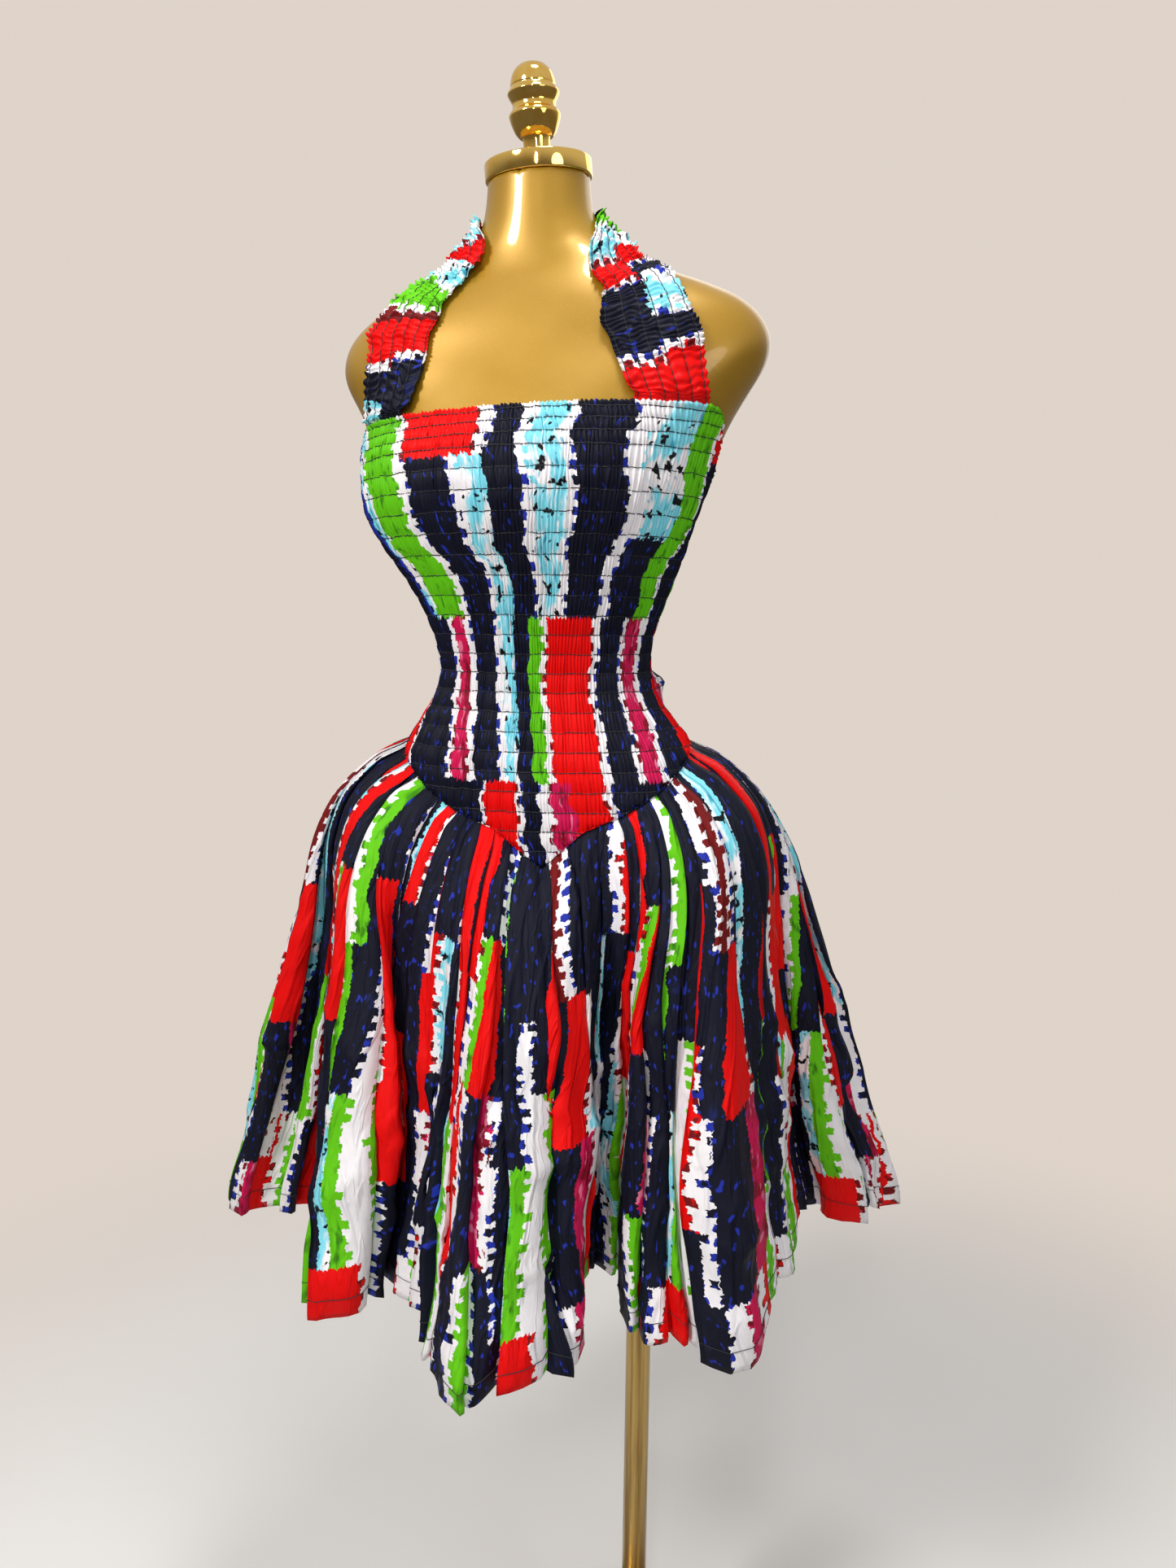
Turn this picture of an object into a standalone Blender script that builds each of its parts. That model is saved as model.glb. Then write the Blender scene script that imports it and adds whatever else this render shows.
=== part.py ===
# Halter mini dress with a shirred bodice and a gathered skirt, on a limbless dress form with a pole stand.
# Metres, +Z up. The dress faces -Y. The origin is the middle of the base plate's underside.
import bpy
import bmesh
from math import cos, exp, pi, radians, sin, tan
from mathutils import Matrix, Vector
from mathutils.bvhtree import BVHTree

# Gaps and cloth
seam_gap = 0.0003
form_gap = 0.0014
bodice_wall = 0.0015
skirt_wall = 0.0015
strap_wall = 0.0022

# Stand
base_radius = 0.170
base_thickness = 0.008
foot_radius = 0.024
foot_height = 0.030
pole_radius = 0.0125
socket_radius = 0.026
socket_height = 0.032
form_bottom = 0.860
neck_top = 1.557
cap_radius = 0.0488
cap_thickness = 0.016

# Stance: one shoulder higher, the neck bowed a little forward, both eased in between two heights
shoulder_roll = radians(3.5)
neck_nod = radians(6.0)
roll_heights = (1.22, 1.40)
nod_heights = (1.44, 1.53)

# Dress form, one row for each section
form_columns = ("height", "centre", "half_width", "front", "back", "fullness")
form_sections = [
    (0.860, -0.078, 0.128, 0.072, 0.092, 2.0),
    (0.866, -0.078, 0.146, 0.084, 0.104, 2.0),
    (0.885, -0.080, 0.157, 0.092, 0.114, 2.0),
    (0.930, -0.085, 0.162, 0.096, 0.118, 2.0),
    (0.990, -0.092, 0.155, 0.095, 0.112, 2.0),
    (1.040, -0.097, 0.140, 0.091, 0.098, 2.0),
    (1.085, -0.101, 0.106, 0.082, 0.078, 2.0),
    (1.122, -0.102, 0.0960, 0.078, 0.069, 2.0),
    (1.150, -0.104, 0.1005, 0.080, 0.070, 2.0),
    (1.190, -0.106, 0.118, 0.089, 0.077, 2.0),
    (1.223, -0.112, 0.135, 0.101, 0.083, 2.0),
    (1.250, -0.117, 0.150, 0.112, 0.087, 2.0),
    (1.280, -0.115, 0.160, 0.119, 0.090, 2.05),
    (1.313, -0.108, 0.165, 0.115, 0.092, 2.1),
    (1.350, -0.098, 0.175, 0.101, 0.092, 2.2),
    (1.372, -0.095, 0.189, 0.091, 0.090, 2.3),
    (1.387, -0.095, 0.197, 0.084, 0.087, 2.4),
    (1.403, -0.096, 0.200, 0.078, 0.084, 2.4),
    (1.421, -0.098, 0.194, 0.073, 0.079, 2.4),
    (1.437, -0.100, 0.180, 0.068, 0.073, 2.3),
    (1.452, -0.103, 0.154, 0.062, 0.067, 2.2),
    (1.466, -0.105, 0.119, 0.056, 0.061, 2.1),
    (1.482, -0.105, 0.094, 0.053, 0.056, 2.0),
    (1.494, -0.108, 0.074, 0.051, 0.053, 2.0),
    (1.508, -0.110, 0.059, 0.050, 0.051, 2.0),
    (1.522, -0.111, 0.0505, 0.0490, 0.0495, 2.0),
    (1.543, -0.111, 0.0475, 0.0475, 0.0475, 2.0),
    (1.557, -0.111, 0.0468, 0.0468, 0.0468, 2.0),
]
form_levels = 36
form_sides = 32

# Bodice: top edge and waist seam, by degrees from the front
edge_columns = ("degrees", "height")
bodice_top = [
    (0, 1.342), (62, 1.344), (70, 1.338), (85, 1.308), (101, 1.276), (120, 1.251), (140, 1.240), (180, 1.232),
]
waist_seam = [(0, 0.942), (12, 0.972), (33, 0.994), (63, 1.030), (90, 1.050), (180, 1.062)]
shirring_rows = 23
puff_height = 0.0020
pucker = 0.0006
bodice_sides = 24
waist_roll_height = 1.101
waist_roll_spread = 0.012
waist_roll_reach = 0.013

# Skirt: how far out the folds reach, by share of the drop from the waist seam to the hem
skirt_centre = -0.090
hem_height = 0.560
reach_columns = ("drop", "side", "front", "back", "fold", "gather")
skirt_reach = [
    (0.00, 0.000, 0.000, 0.000, 0.00, 0.0010),
    (0.04, 0.036, 0.014, 0.032, 0.06, 0.0055),
    (0.12, 0.078, 0.038, 0.064, 0.16, 0.0085),
    (0.22, 0.103, 0.062, 0.088, 0.28, 0.0090),
    (0.36, 0.121, 0.087, 0.112, 0.46, 0.0085),
    (0.52, 0.144, 0.111, 0.134, 0.63, 0.0075),
    (0.68, 0.165, 0.133, 0.151, 0.78, 0.0060),
    (0.84, 0.186, 0.154, 0.166, 0.90, 0.0045),
    (1.00, 0.209, 0.176, 0.178, 1.00, 0.0030),
]
# Folds at the hem, clockwise from above: ridge and the valley after it, in degrees from the front
fold_columns = ("ridge_at", "ridge_out", "valley_at", "valley_out", "dip")
skirt_folds = [
    (-92, 0.361, -66, 0.212, 0.006),
    (-45, 0.262, -33, 0.186, 0.010),
    (-24, 0.208, -18, 0.194, 0.002),
    (-6, 0.288, 4, 0.224, 0.012),
    (10, 0.242, 26, 0.126, 0.000),
    (41, 0.276, 54, 0.196, 0.010),
    (71, 0.244, 86, 0.214, 0.004),
    (105, 0.360, 119, 0.236, 0.006),
    (132, 0.302, 143, 0.216, 0.010),
    (157, 0.286, 169, 0.192, 0.004),
    (183, 0.294, 195, 0.206, 0.010),
    (209, 0.272, 221, 0.202, 0.004),
    (236, 0.306, 250, 0.240, 0.008),
]
valley_rise = 0.004
fold_roundness = 0.65
# Three columns to a gather: its side, its crest and a shallow second crest on every other one
gather_waves = ((0.0, 1.0, -0.15), (0.0, 1.0, 0.35))
gather_sides = 3

# Straps, from the bodice's top edge over the shoulder to the nape
strap_columns = ("across", "back", "height", "width", "puff")
strap_left_path = [
    (0.017, -0.073, 1.350, 0.074, 0.0018),
    (0.010, -0.078, 1.376, 0.075, 0.0020),
    (0.003, -0.076, 1.400, 0.077, 0.0020),
    (-0.005, -0.068, 1.425, 0.075, 0.0022),
    (-0.014, -0.060, 1.450, 0.066, 0.0024),
    (-0.032, -0.050, 1.474, 0.046, 0.0028),
    (-0.043, -0.030, 1.492, 0.036, 0.0032),
    (-0.052, -0.004, 1.512, 0.031, 0.0032),
    (-0.076, 0.036, 1.519, 0.032, 0.0030),
    (-0.111, 0.050, 1.516, 0.034, 0.0026),
]
strap_right_path = [
    (-0.238, -0.064, 1.338, 0.058, 0.0018),
    (-0.226, -0.068, 1.372, 0.062, 0.0020),
    (-0.221, -0.060, 1.410, 0.063, 0.0022),
    (-0.208, -0.046, 1.440, 0.062, 0.0024),
    (-0.184, -0.042, 1.462, 0.052, 0.0028),
    (-0.168, -0.036, 1.480, 0.042, 0.0030),
    (-0.162, -0.018, 1.494, 0.035, 0.0032),
    (-0.158, 0.006, 1.504, 0.031, 0.0032),
    (-0.146, 0.036, 1.511, 0.032, 0.0030),
    (-0.111, 0.050, 1.516, 0.034, 0.0026),
]
# Where each strap is sewn to the bodice's top edge: its inner and outer corner, in degrees from the front
strap_feet = {"strap_left": (30, 60), "strap_right": (-39, -61)}
strap_stations = 24
strap_lanes = 8
strap_rise = 0.004
strap_dip = 0.55
strap_lift = 0.0024

paint_gold = ((0.560, 0.330, 0.085, 1.0), 0.28, 0.35)
polished_gold = ((0.780, 0.560, 0.160, 1.0), 0.10, 1.0)
aged_brass = ((0.420, 0.290, 0.100, 1.0), 0.25, 1.0)
printed_cotton = ((0.080, 0.085, 0.150, 1.0), 0.70, 0.0)


def clear_scene():
    for item in list(bpy.data.objects):
        bpy.data.objects.remove(item, do_unlink=True)


def finish_of(name, finish):
    colour, roughness, metallic = finish
    material = bpy.data.materials.new(name)
    material.use_nodes = True
    shader = material.node_tree.nodes["Principled BSDF"]
    shader.inputs["Base Color"].default_value = colour
    shader.inputs["Roughness"].default_value = roughness
    shader.inputs["Metallic"].default_value = metallic
    return material


def add_object(name, bm, finish, sharp=radians(35)):
    bmesh.ops.recalc_face_normals(bm, faces=bm.faces)
    mesh = bpy.data.meshes.new(name)
    bm.to_mesh(mesh)
    bm.free()
    mesh.shade_smooth()
    mesh.set_sharp_from_angle(angle=sharp)
    mesh.materials.append(finish_of(name, finish))
    piece = bpy.data.objects.new(name, mesh)
    bpy.context.collection.objects.link(piece)
    return piece


def ease(value, low, high):
    share = min(1.0, max(0.0, (value - low) / (high - low)))
    return share * share * (3 - 2 * share)


def read_table(rows, columns, name, at):
    """A column's value at a place along the first column, on a smooth curve through the rows."""
    pick = columns.index(name)
    places = [row[0] for row in rows]
    values = [row[pick] for row in rows]
    if at <= places[0]:
        return values[0]
    if at >= places[-1]:
        return values[-1]
    i = max(k for k in range(len(places) - 1) if places[k] <= at)

    def slope(k):
        if k == 0 or k == len(places) - 1:
            return 0.0
        before = (values[k] - values[k - 1]) / (places[k] - places[k - 1])
        after = (values[k + 1] - values[k]) / (places[k + 1] - places[k])
        if before * after <= 0:
            return 0.0
        return 2 * before * after / (before + after)

    span = places[i + 1] - places[i]
    t = (at - places[i]) / span
    rise = values[i + 1] - values[i]
    start, end = slope(i) * span, slope(i + 1) * span
    return values[i] + t * start + t * t * (3 * rise - 2 * start - end) + t**3 * (start + end - 2 * rise)


def lean(point, centre):
    """The stance: tips a level section sideways and forward by its height."""
    x, y, z = point
    roll = tan(shoulder_roll) * ease(z, *roll_heights)
    nod = tan(neck_nod) * ease(z, *nod_heights)
    return Vector((x, y, z + (x - centre) * roll + y * nod))


def form_point(height, degrees, out=0.0):
    """A point on the form's skin, or out from it, by degrees from the front towards the viewer's right."""
    centre, width, front, back, fullness = (
        read_table(form_sections, form_columns, name, height)
        for name in form_columns[1:]
    )
    s, c = sin(radians(degrees)), cos(radians(degrees))
    depth = front if c > 0 else back
    power = 2 / fullness
    x = width * abs(s) ** power * (1 if s > 0 else -1)
    y = -depth * abs(c) ** power * (1 if c > 0 else -1)
    way = Vector((s / width, -c / depth, 0)).normalized()
    return lean((centre + x + way.x * out, y + way.y * out, height), centre)


def skin(bm, rings, closed):
    """Faces between rings of the same count."""
    count = len(rings[0])
    for low, high in zip(rings, rings[1:]):
        for i in range(count if closed else count - 1):
            j = (i + 1) % count
            bm.faces.new((low[i], low[j], high[j], high[i]))


def wall(name, outer, inner, finish, step=1):
    """A closed cloth wall from an outer and an inner grid of points; the inner one has every step-th row."""
    bm = bmesh.new()
    out = [[bm.verts.new(p) for p in row] for row in outer]
    ins = [[bm.verts.new(p) for p in row] for row in inner]
    skin(bm, out, False)
    skin(bm, ins, False)
    skin(bm, [out[0], ins[0]], False)
    skin(bm, [out[-1], ins[-1]], False)
    for side in (0, -1):
        for k in range(len(ins) - 1):
            run = [out[i][side] for i in range(k * step, (k + 1) * step + 1)]
            for a, b in zip(run, run[1:]):
                bm.faces.new((ins[k][side], a, b))
            bm.faces.new((ins[k][side], run[-1], ins[k + 1][side]))
    bmesh.ops.remove_doubles(bm, verts=bm.verts, dist=0.00012)
    bmesh.ops.triangulate(bm, faces=bm.faces)
    return add_object(name, bm, finish)


def turned(name, profile, finish, sides=40, place=None):
    """A turned piece from its half outline of radius and height, both ends on the axis or closed as a ring."""
    bm = bmesh.new()
    verts = [bm.verts.new((radius, 0, height)) for radius, height in profile]
    edges = [bm.edges.new(pair) for pair in zip(verts, verts[1:])]
    if profile[0][0] > 0:
        edges.append(bm.edges.new((verts[-1], verts[0])))
    bmesh.ops.spin(bm, geom=verts + edges, cent=(0, 0, 0), axis=(0, 0, 1), angle=2 * pi, steps=sides, use_merge=True)
    bmesh.ops.remove_doubles(bm, verts=bm.verts, dist=0.00001)
    if place is not None:
        bmesh.ops.transform(bm, matrix=place, verts=bm.verts)
    return add_object(name, bm, finish)


def build_form():
    heights = [row[0] for row in form_sections]
    while len(heights) < form_levels:
        gaps = [b - a for a, b in zip(heights, heights[1:])]
        widest = gaps.index(max(gaps))
        heights.insert(widest + 1, (heights[widest] + heights[widest + 1]) / 2)
    bm = bmesh.new()
    rings = []
    for height in heights:
        turn = [360 * i / form_sides for i in range(form_sides)]
        rings.append([bm.verts.new(form_point(height, degrees)) for degrees in turn])
    skin(bm, rings, True)
    bm.faces.new(rings[0])
    bm.faces.new(rings[-1])
    return add_object("form_body", bm, paint_gold)


def neck_place():
    """Carries a piece turned about +Z from the origin to the top of the neck."""
    centre = read_table(form_sections, form_columns, "centre", neck_top)
    tilt = Matrix.Rotation(-shoulder_roll, 4, "Y") @ Matrix.Rotation(neck_nod, 4, "X")
    return Matrix.Translation((centre, 0, neck_top)) @ tilt


def build_cap():
    r, t, edge = cap_radius, cap_thickness, 0.0015
    profile = [
        (0, seam_gap),
        (r - edge, seam_gap),
        (r, seam_gap + edge),
        (r, t - edge),
        (r - edge, t),
        (0, t),
    ]
    turned("neck_cap", profile, polished_gold, 40, neck_place())


def build_finial():
    foot = cap_thickness + seam_gap
    outline = [
        (0.0150, 0.0000), (0.0150, 0.0015), (0.0125, 0.0030), (0.0123, 0.0185), (0.0150, 0.0200),
        (0.0185, 0.0240), (0.0212, 0.0300), (0.0228, 0.0350), (0.0231, 0.0385), (0.0203, 0.0425),
        (0.0196, 0.0450), (0.0197, 0.0480), (0.0228, 0.0540), (0.0231, 0.0565), (0.0204, 0.0605),
        (0.0203, 0.0625), (0.0196, 0.0665), (0.0176, 0.0720), (0.0143, 0.0762), (0.0098, 0.0792),
    ]
    profile = [(0, foot)] + [(r, foot + z) for r, z in outline] + [(0, foot + 0.0812)]
    turned("finial", profile, polished_gold, 20, neck_place())


def ring_profile(inner, outer, low, high, edge):
    return [
        (inner, low),
        (outer - edge, low),
        (outer, low + edge),
        (outer, high - edge),
        (outer - edge, high),
        (inner, high),
    ]


def build_stand():
    t, r, edge = base_thickness, base_radius, 0.003
    plate = [(0, 0), (r - edge / 3, 0), (r, edge / 3), (r, t - edge), (r - edge, t), (0, t)]
    turned("base_plate", plate, aged_brass, 48)
    pole_low = t + seam_gap
    pole_high = form_bottom - seam_gap
    pole = [(0, pole_low), (pole_radius, pole_low), (pole_radius, pole_high), (0, pole_high)]
    turned("pole", pole, aged_brass, 24)
    bore = pole_radius + seam_gap
    foot = ring_profile(bore, foot_radius, pole_low, pole_low + foot_height, edge)
    turned("pole_foot", foot, aged_brass, 24)
    socket = ring_profile(bore, socket_radius, pole_high - socket_height, pole_high, edge)
    turned("pole_socket", socket, polished_gold, 24)


def between_columns(table, degrees):
    """An edge's height, straight between the bodice's columns so that both pieces at the edge share the line."""
    turn = abs((degrees + 180) % 360 - 180)
    pitch = 180 / bodice_sides
    i = min(int(turn / pitch + 1e-9), bodice_sides - 1)
    share = turn / pitch - i
    ends = [read_table(table, edge_columns, "height", (i + k) * pitch) for k in (0, 1)]
    return ends[0] + (ends[1] - ends[0]) * share


def bodice_heights():
    top = bodice_top[1][1]
    low = waist_seam[0][1]
    count = 2 * shirring_rows
    return [top - (top - low) * i / count for i in range(count + 1)]


def waist_roll(height, degrees):
    """Spare cloth bunched across the back of the waist."""
    turn = abs((degrees + 180) % 360 - 180)
    bell = exp(-(((height - waist_roll_height) / waist_roll_spread) ** 2))
    return waist_roll_reach * bell * ease(turn, 88, 108)


def seam_shift(points, side):
    """Moves an edge column half a seam gap along the cloth, away from the seam."""
    edge, next_in = (0, 1) if side == 0 else (-1, -2)
    way = points[next_in] - points[edge]
    way.z = 0
    points[edge] = points[edge] + way.normalized() * (seam_gap / 2)


def build_bodice_panel(name, first_degrees):
    """Puffs stand out between the rows of elastic stitching; the inside is plain."""
    levels = bodice_heights()
    outer, inner = [], []
    for k, level in enumerate(levels):
        row_out, row_in = [], []
        for i in range(bodice_sides + 1):
            degrees = first_degrees + 180 * i / bodice_sides
            top = between_columns(bodice_top, degrees)
            low = between_columns(waist_seam, degrees)
            height = min(top, max(low, level))
            free = low < level < top
            raised = puff_height * (k % 2) + pucker * ((i + k // 2) % 2) if free else 0
            roll = waist_roll(height, degrees)
            row_out.append(form_point(height, degrees, form_gap + bodice_wall + raised + roll))
            row_in.append(form_point(height, degrees, form_gap))
        for row in (row_out, row_in):
            seam_shift(row, 0)
            seam_shift(row, -1)
        outer.append(row_out)
        inner.append(row_in)
    return wall(name, outer, inner[::2], printed_cotton, step=2)


def fold_reach(degrees):
    """Distance of the hem from the skirt's middle, and how far the hem dips, at an angle."""
    stops = []
    for turn in (-360, 0, 360):
        for row in skirt_folds:
            fold = dict(zip(fold_columns, row))
            stops.append((fold["ridge_at"] + turn, fold["ridge_out"], fold["dip"]))
            stops.append((fold["valley_at"] + turn, fold["valley_out"], -valley_rise))
    k = max(i for i in range(len(stops) - 1) if stops[i][0] <= degrees)
    before, after = stops[k], stops[k + 1]
    share = (degrees - before[0]) / (after[0] - before[0])
    share += fold_roundness * (ease(share, 0, 1) - share)
    return [before[i] + (after[i] - before[i]) * share for i in (1, 2)]


def skirt_point(drop, degrees, wave):
    """A point on the skirt's outer face: the reach all round, drawn in at the valleys, plus the gathers."""
    reach = {name: read_table(skirt_reach, reach_columns, name, drop) for name in reach_columns[1:]}
    seam = between_columns(waist_seam, degrees)
    start = form_point(seam, degrees, form_gap + skirt_wall)
    s, c = sin(radians(degrees)), cos(radians(degrees))
    full = reach["side"] * s * s + (reach["front"] if c > 0 else reach["back"]) * c * c
    hem = dict(zip(reach_columns, skirt_reach[-1]))
    hem_full = hem["side"] * s * s + (hem["front"] if c > 0 else hem["back"]) * c * c
    way = Vector((s, -c, 0))
    hem_out, dip = fold_reach((degrees + 180) % 360 - 180)
    hem_point = Vector((skirt_centre, 0, 0)) + way * hem_out
    open_hem = start + way * hem_full
    fold = (hem_point - open_hem) * reach["fold"]
    fold.z = 0
    point = start + way * (full + reach["gather"] * wave) + fold
    point.z = seam - seam_gap + (hem_height - dip - seam + seam_gap) * drop
    return point


def build_skirt():
    """Rings from the waist seam to the hem, thickened inwards and cut at the side seams."""
    sides = 2 * bodice_sides * gather_sides
    rings, inside = [], []
    for row in skirt_reach:
        ring = []
        for i in range(sides):
            wave = gather_waves[(i // gather_sides) % 2][i % gather_sides]
            ring.append(skirt_point(row[0], -90 + 360 * i / sides, wave))
        rings.append(ring)
        inner = []
        for i, point in enumerate(ring):
            along = ring[(i + 1) % sides] - ring[i - 1]
            way = Vector((along.y, -along.x, 0)).normalized()
            inner.append(point - way * skirt_wall)
        inside.append(inner)
    half = sides // 2
    for name, first in (("skirt_front", 0), ("skirt_back", half)):
        grids = []
        for source in (rings, inside):
            grid = [[ring[(first + i) % sides].copy() for i in range(half + 1)] for ring in source]
            for row in grid:
                seam_shift(row, 0)
                seam_shift(row, -1)
            grids.append(grid)
        wall(name, grids[0], grids[1], printed_cotton)


def path_point(path, share):
    """The strap's middle line, width and puffs at a share of its length."""
    last = len(path) - 1
    rows = [(k / last,) + row for k, row in enumerate(path)]
    columns = ("share",) + strap_columns
    at = {name: read_table(rows, columns, name, share) for name in strap_columns}
    at["middle"] = Vector((at["across"], at["back"], at["height"]))
    return at


def build_strap(name, side, path, tree):
    """A shirred band laid on the form: puffs between its lengthwise rows, gathered narrow at the nape."""
    nape = path[-1][0] + side * seam_gap / 2
    stations = [path_point(path, k / strap_stations) for k in range(strap_stations + 1)]
    inner_foot, outer_foot = strap_feet[name]
    outer, inner = [], []
    for k, at in enumerate(stations):
        ahead = stations[min(k + 1, strap_stations)]["middle"]
        behind = stations[max(k - 1, 0)]["middle"]
        foot, normal, _, _ = tree.find_nearest(at["middle"])
        across = (ahead - behind).cross(normal).normalized() * side
        settled = ease(k, 0, 4)
        row_out, row_in = [], []
        for i in range(strap_lanes + 1):
            share = i / strap_lanes
            spot, face_normal, _, _ = tree.find_nearest(foot + across * (share - 0.5) * at["width"])
            way = (face_normal + normal * 0.5).normalized()
            puff = at["puff"] * (i % 2) * (1.0 if k % 2 else strap_dip) * min(1, k)
            degrees = inner_foot + (outer_foot - inner_foot) * share
            edge = between_columns(bodice_top, degrees)
            for row, out in ((row_in, strap_lift), (row_out, strap_lift + strap_wall + puff)):
                sewn = form_point(edge, degrees, out) + Vector((0, 0, seam_gap))
                point = sewn.lerp(spot + way * out, settled)
                point.z = max(point.z, sewn.z + strap_rise * min(k, 3))
                if k == strap_stations:
                    point.x = nape
                row.append(point)
        outer.append(row_out)
        inner.append(row_in)
    return wall(name, outer, inner, printed_cotton)


def main():
    clear_scene()
    form = build_form()
    build_cap()
    build_finial()
    build_stand()
    build_bodice_panel("bodice_front", -90)
    build_bodice_panel("bodice_back", 90)
    build_skirt()
    bm = bmesh.new()
    bm.from_mesh(form.data)
    tree = BVHTree.FromBMesh(bm)
    bm.free()
    build_strap("strap_left", 1, strap_left_path, tree)
    build_strap("strap_right", -1, strap_right_path, tree)


main()
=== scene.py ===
from math import cos, pi, radians, sin, tan

import bmesh
import bpy
import numpy as np
from mathutils import Matrix, Vector
from mathutils.bvhtree import BVHTree


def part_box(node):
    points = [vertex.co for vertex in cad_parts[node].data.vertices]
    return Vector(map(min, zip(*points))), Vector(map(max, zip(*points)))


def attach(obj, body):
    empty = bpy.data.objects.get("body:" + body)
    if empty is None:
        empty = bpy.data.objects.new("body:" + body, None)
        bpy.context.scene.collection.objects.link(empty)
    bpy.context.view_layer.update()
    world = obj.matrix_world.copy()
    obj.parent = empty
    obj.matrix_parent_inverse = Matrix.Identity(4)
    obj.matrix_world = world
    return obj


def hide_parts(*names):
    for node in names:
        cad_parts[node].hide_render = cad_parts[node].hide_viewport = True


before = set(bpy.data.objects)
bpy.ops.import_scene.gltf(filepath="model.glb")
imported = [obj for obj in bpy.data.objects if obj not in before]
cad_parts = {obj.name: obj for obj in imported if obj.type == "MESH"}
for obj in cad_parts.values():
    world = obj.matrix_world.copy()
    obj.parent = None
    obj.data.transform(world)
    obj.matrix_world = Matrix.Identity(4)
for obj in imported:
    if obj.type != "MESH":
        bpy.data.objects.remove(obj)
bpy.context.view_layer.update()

# number helpers

def ease(value, low, high):
    share = np.clip((np.asarray(value, float) - low) / (high - low), 0, 1)
    return share * share * (3 - 2 * share)


def smoothColumn(rows, pick, at):  # a table's column read on a smooth curve, never past its rows
    xs = np.array([row[0] for row in rows], float)
    ys = np.array([row[pick] for row in rows], float)
    steps = np.diff(ys) / np.diff(xs)
    slopes = np.zeros(len(xs))
    both = steps[:-1] * steps[1:]
    total = steps[:-1] + steps[1:]
    slopes[1:-1] = np.where(both > 0, 2 * both / np.where(total == 0, 1, total), 0)
    at = np.clip(np.asarray(at, float), xs[0], xs[-1])
    i = np.clip(np.searchsorted(xs, at, side="right") - 1, 0, len(xs) - 2)
    span = xs[i + 1] - xs[i]
    t = (at - xs[i]) / span
    rise = ys[i + 1] - ys[i]
    start, end = slopes[i] * span, slopes[i + 1] * span
    return ys[i] + t * start + t * t * (3 * rise - 2 * start - end) + t**3 * (start + end - 2 * rise)


def lattice(x, y, seed):  # soft value noise from 0 to 1 on a unit lattice
    rng = np.random.default_rng(seed)
    size = 256
    values = rng.random((size, size))
    xi, yi = np.floor(x).astype(int), np.floor(y).astype(int)
    fx, fy = x - xi, y - yi
    fx, fy = fx * fx * (3 - 2 * fx), fy * fy * (3 - 2 * fy)
    x0, x1, y0, y1 = xi % size, (xi + 1) % size, yi % size, (yi + 1) % size
    low = values[x0, y0] * (1 - fx) + values[x1, y0] * fx
    high = values[x0, y1] * (1 - fx) + values[x1, y1] * fx
    return low * (1 - fy) + high * fy


def crease(x, y, seed):  # sharp ridges where the noise crosses its middle
    return 1 - np.abs(2 * lattice(x, y, seed) - 1)


def waver(amount, x, y, seed):  # the noise as a drift to either side
    return amount * (lattice(x, y, seed) - 0.5)


def ringSoft(values, width):  # a closed run of rows softened over a number of its steps
    kernel = np.exp(-0.5 * (2 * pi * np.fft.fftfreq(len(values)) * width) ** 2)
    return np.fft.ifft(np.fft.fft(values, axis=0) * kernel[:, None], axis=0).real


def gridNormals(points):  # outward normals of a grid of points, rows going up
    across = np.gradient(points, axis=1)
    up = np.gradient(points, axis=0)
    normal = np.cross(across, up)
    return normal / np.maximum(np.linalg.norm(normal, axis=2, keepdims=True), 1e-12)


# mesh helpers

def addPiece(name, mesh, material):
    piece = bpy.data.objects.new(name, mesh)
    bpy.context.scene.collection.objects.link(piece)
    mesh.materials.clear()
    mesh.materials.append(material)
    return piece


# a grid carried onto a table of points, rows going up, with the uv table laying its print on
def clothSheet(name, points, uv, material, mergeAt=0.0):
    rows, columns = points.shape[0] - 1, points.shape[1] - 1
    bm = bmesh.new()
    bmesh.ops.create_grid(bm, x_segments=columns, y_segments=rows, size=0.5)
    mesh = bpy.data.meshes.new(name)
    bm.to_mesh(mesh)
    bm.free()
    flat = np.empty(len(mesh.vertices) * 3)
    mesh.vertices.foreach_get("co", flat)
    flat = flat.reshape(-1, 3)
    i = np.rint((flat[:, 0] + 0.5) * columns).astype(int)
    j = np.rint((flat[:, 1] + 0.5) * rows).astype(int)
    mesh.vertices.foreach_set("co", points[j, i].ravel())
    layer = mesh.uv_layers.new(name="cloth")
    corner = np.empty(len(mesh.loops), dtype=int)
    mesh.loops.foreach_get("vertex_index", corner)
    layer.data.foreach_set("uv", uv[j, i][corner].ravel())
    if mergeAt:
        bm = bmesh.new()
        bm.from_mesh(mesh)
        bmesh.ops.remove_doubles(bm, verts=bm.verts, dist=mergeAt)
        bm.to_mesh(mesh)
        bm.free()
    mesh.update()
    mesh.shade_smooth()
    return addPiece(name, mesh, material)


def thread(name, runs, radius, material):  # a fine stitched line, a thin tube laid along each run
    curve = bpy.data.curves.new(name, "CURVE")
    curve.dimensions = "3D"
    curve.bevel_depth = radius
    curve.bevel_resolution = 0
    curve.use_fill_caps = True
    for run in runs:
        spline = curve.splines.new("POLY")
        spline.points.add(len(run) - 1)
        spline.points.foreach_set("co", np.column_stack([run, np.ones(len(run))]).ravel())
    curve.materials.append(material)
    piece = bpy.data.objects.new(name, curve)
    bpy.context.scene.collection.objects.link(piece)
    return piece


def thicken(piece, amount):
    solid = piece.modifiers.new("thickness", "SOLIDIFY")
    solid.thickness = amount
    solid.offset = -1


def settle(piece, node=None):  # puts it on its body, root, and hides the solid that it stands for
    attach(piece, "root")
    if node:
        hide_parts(node)
    return piece


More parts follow.
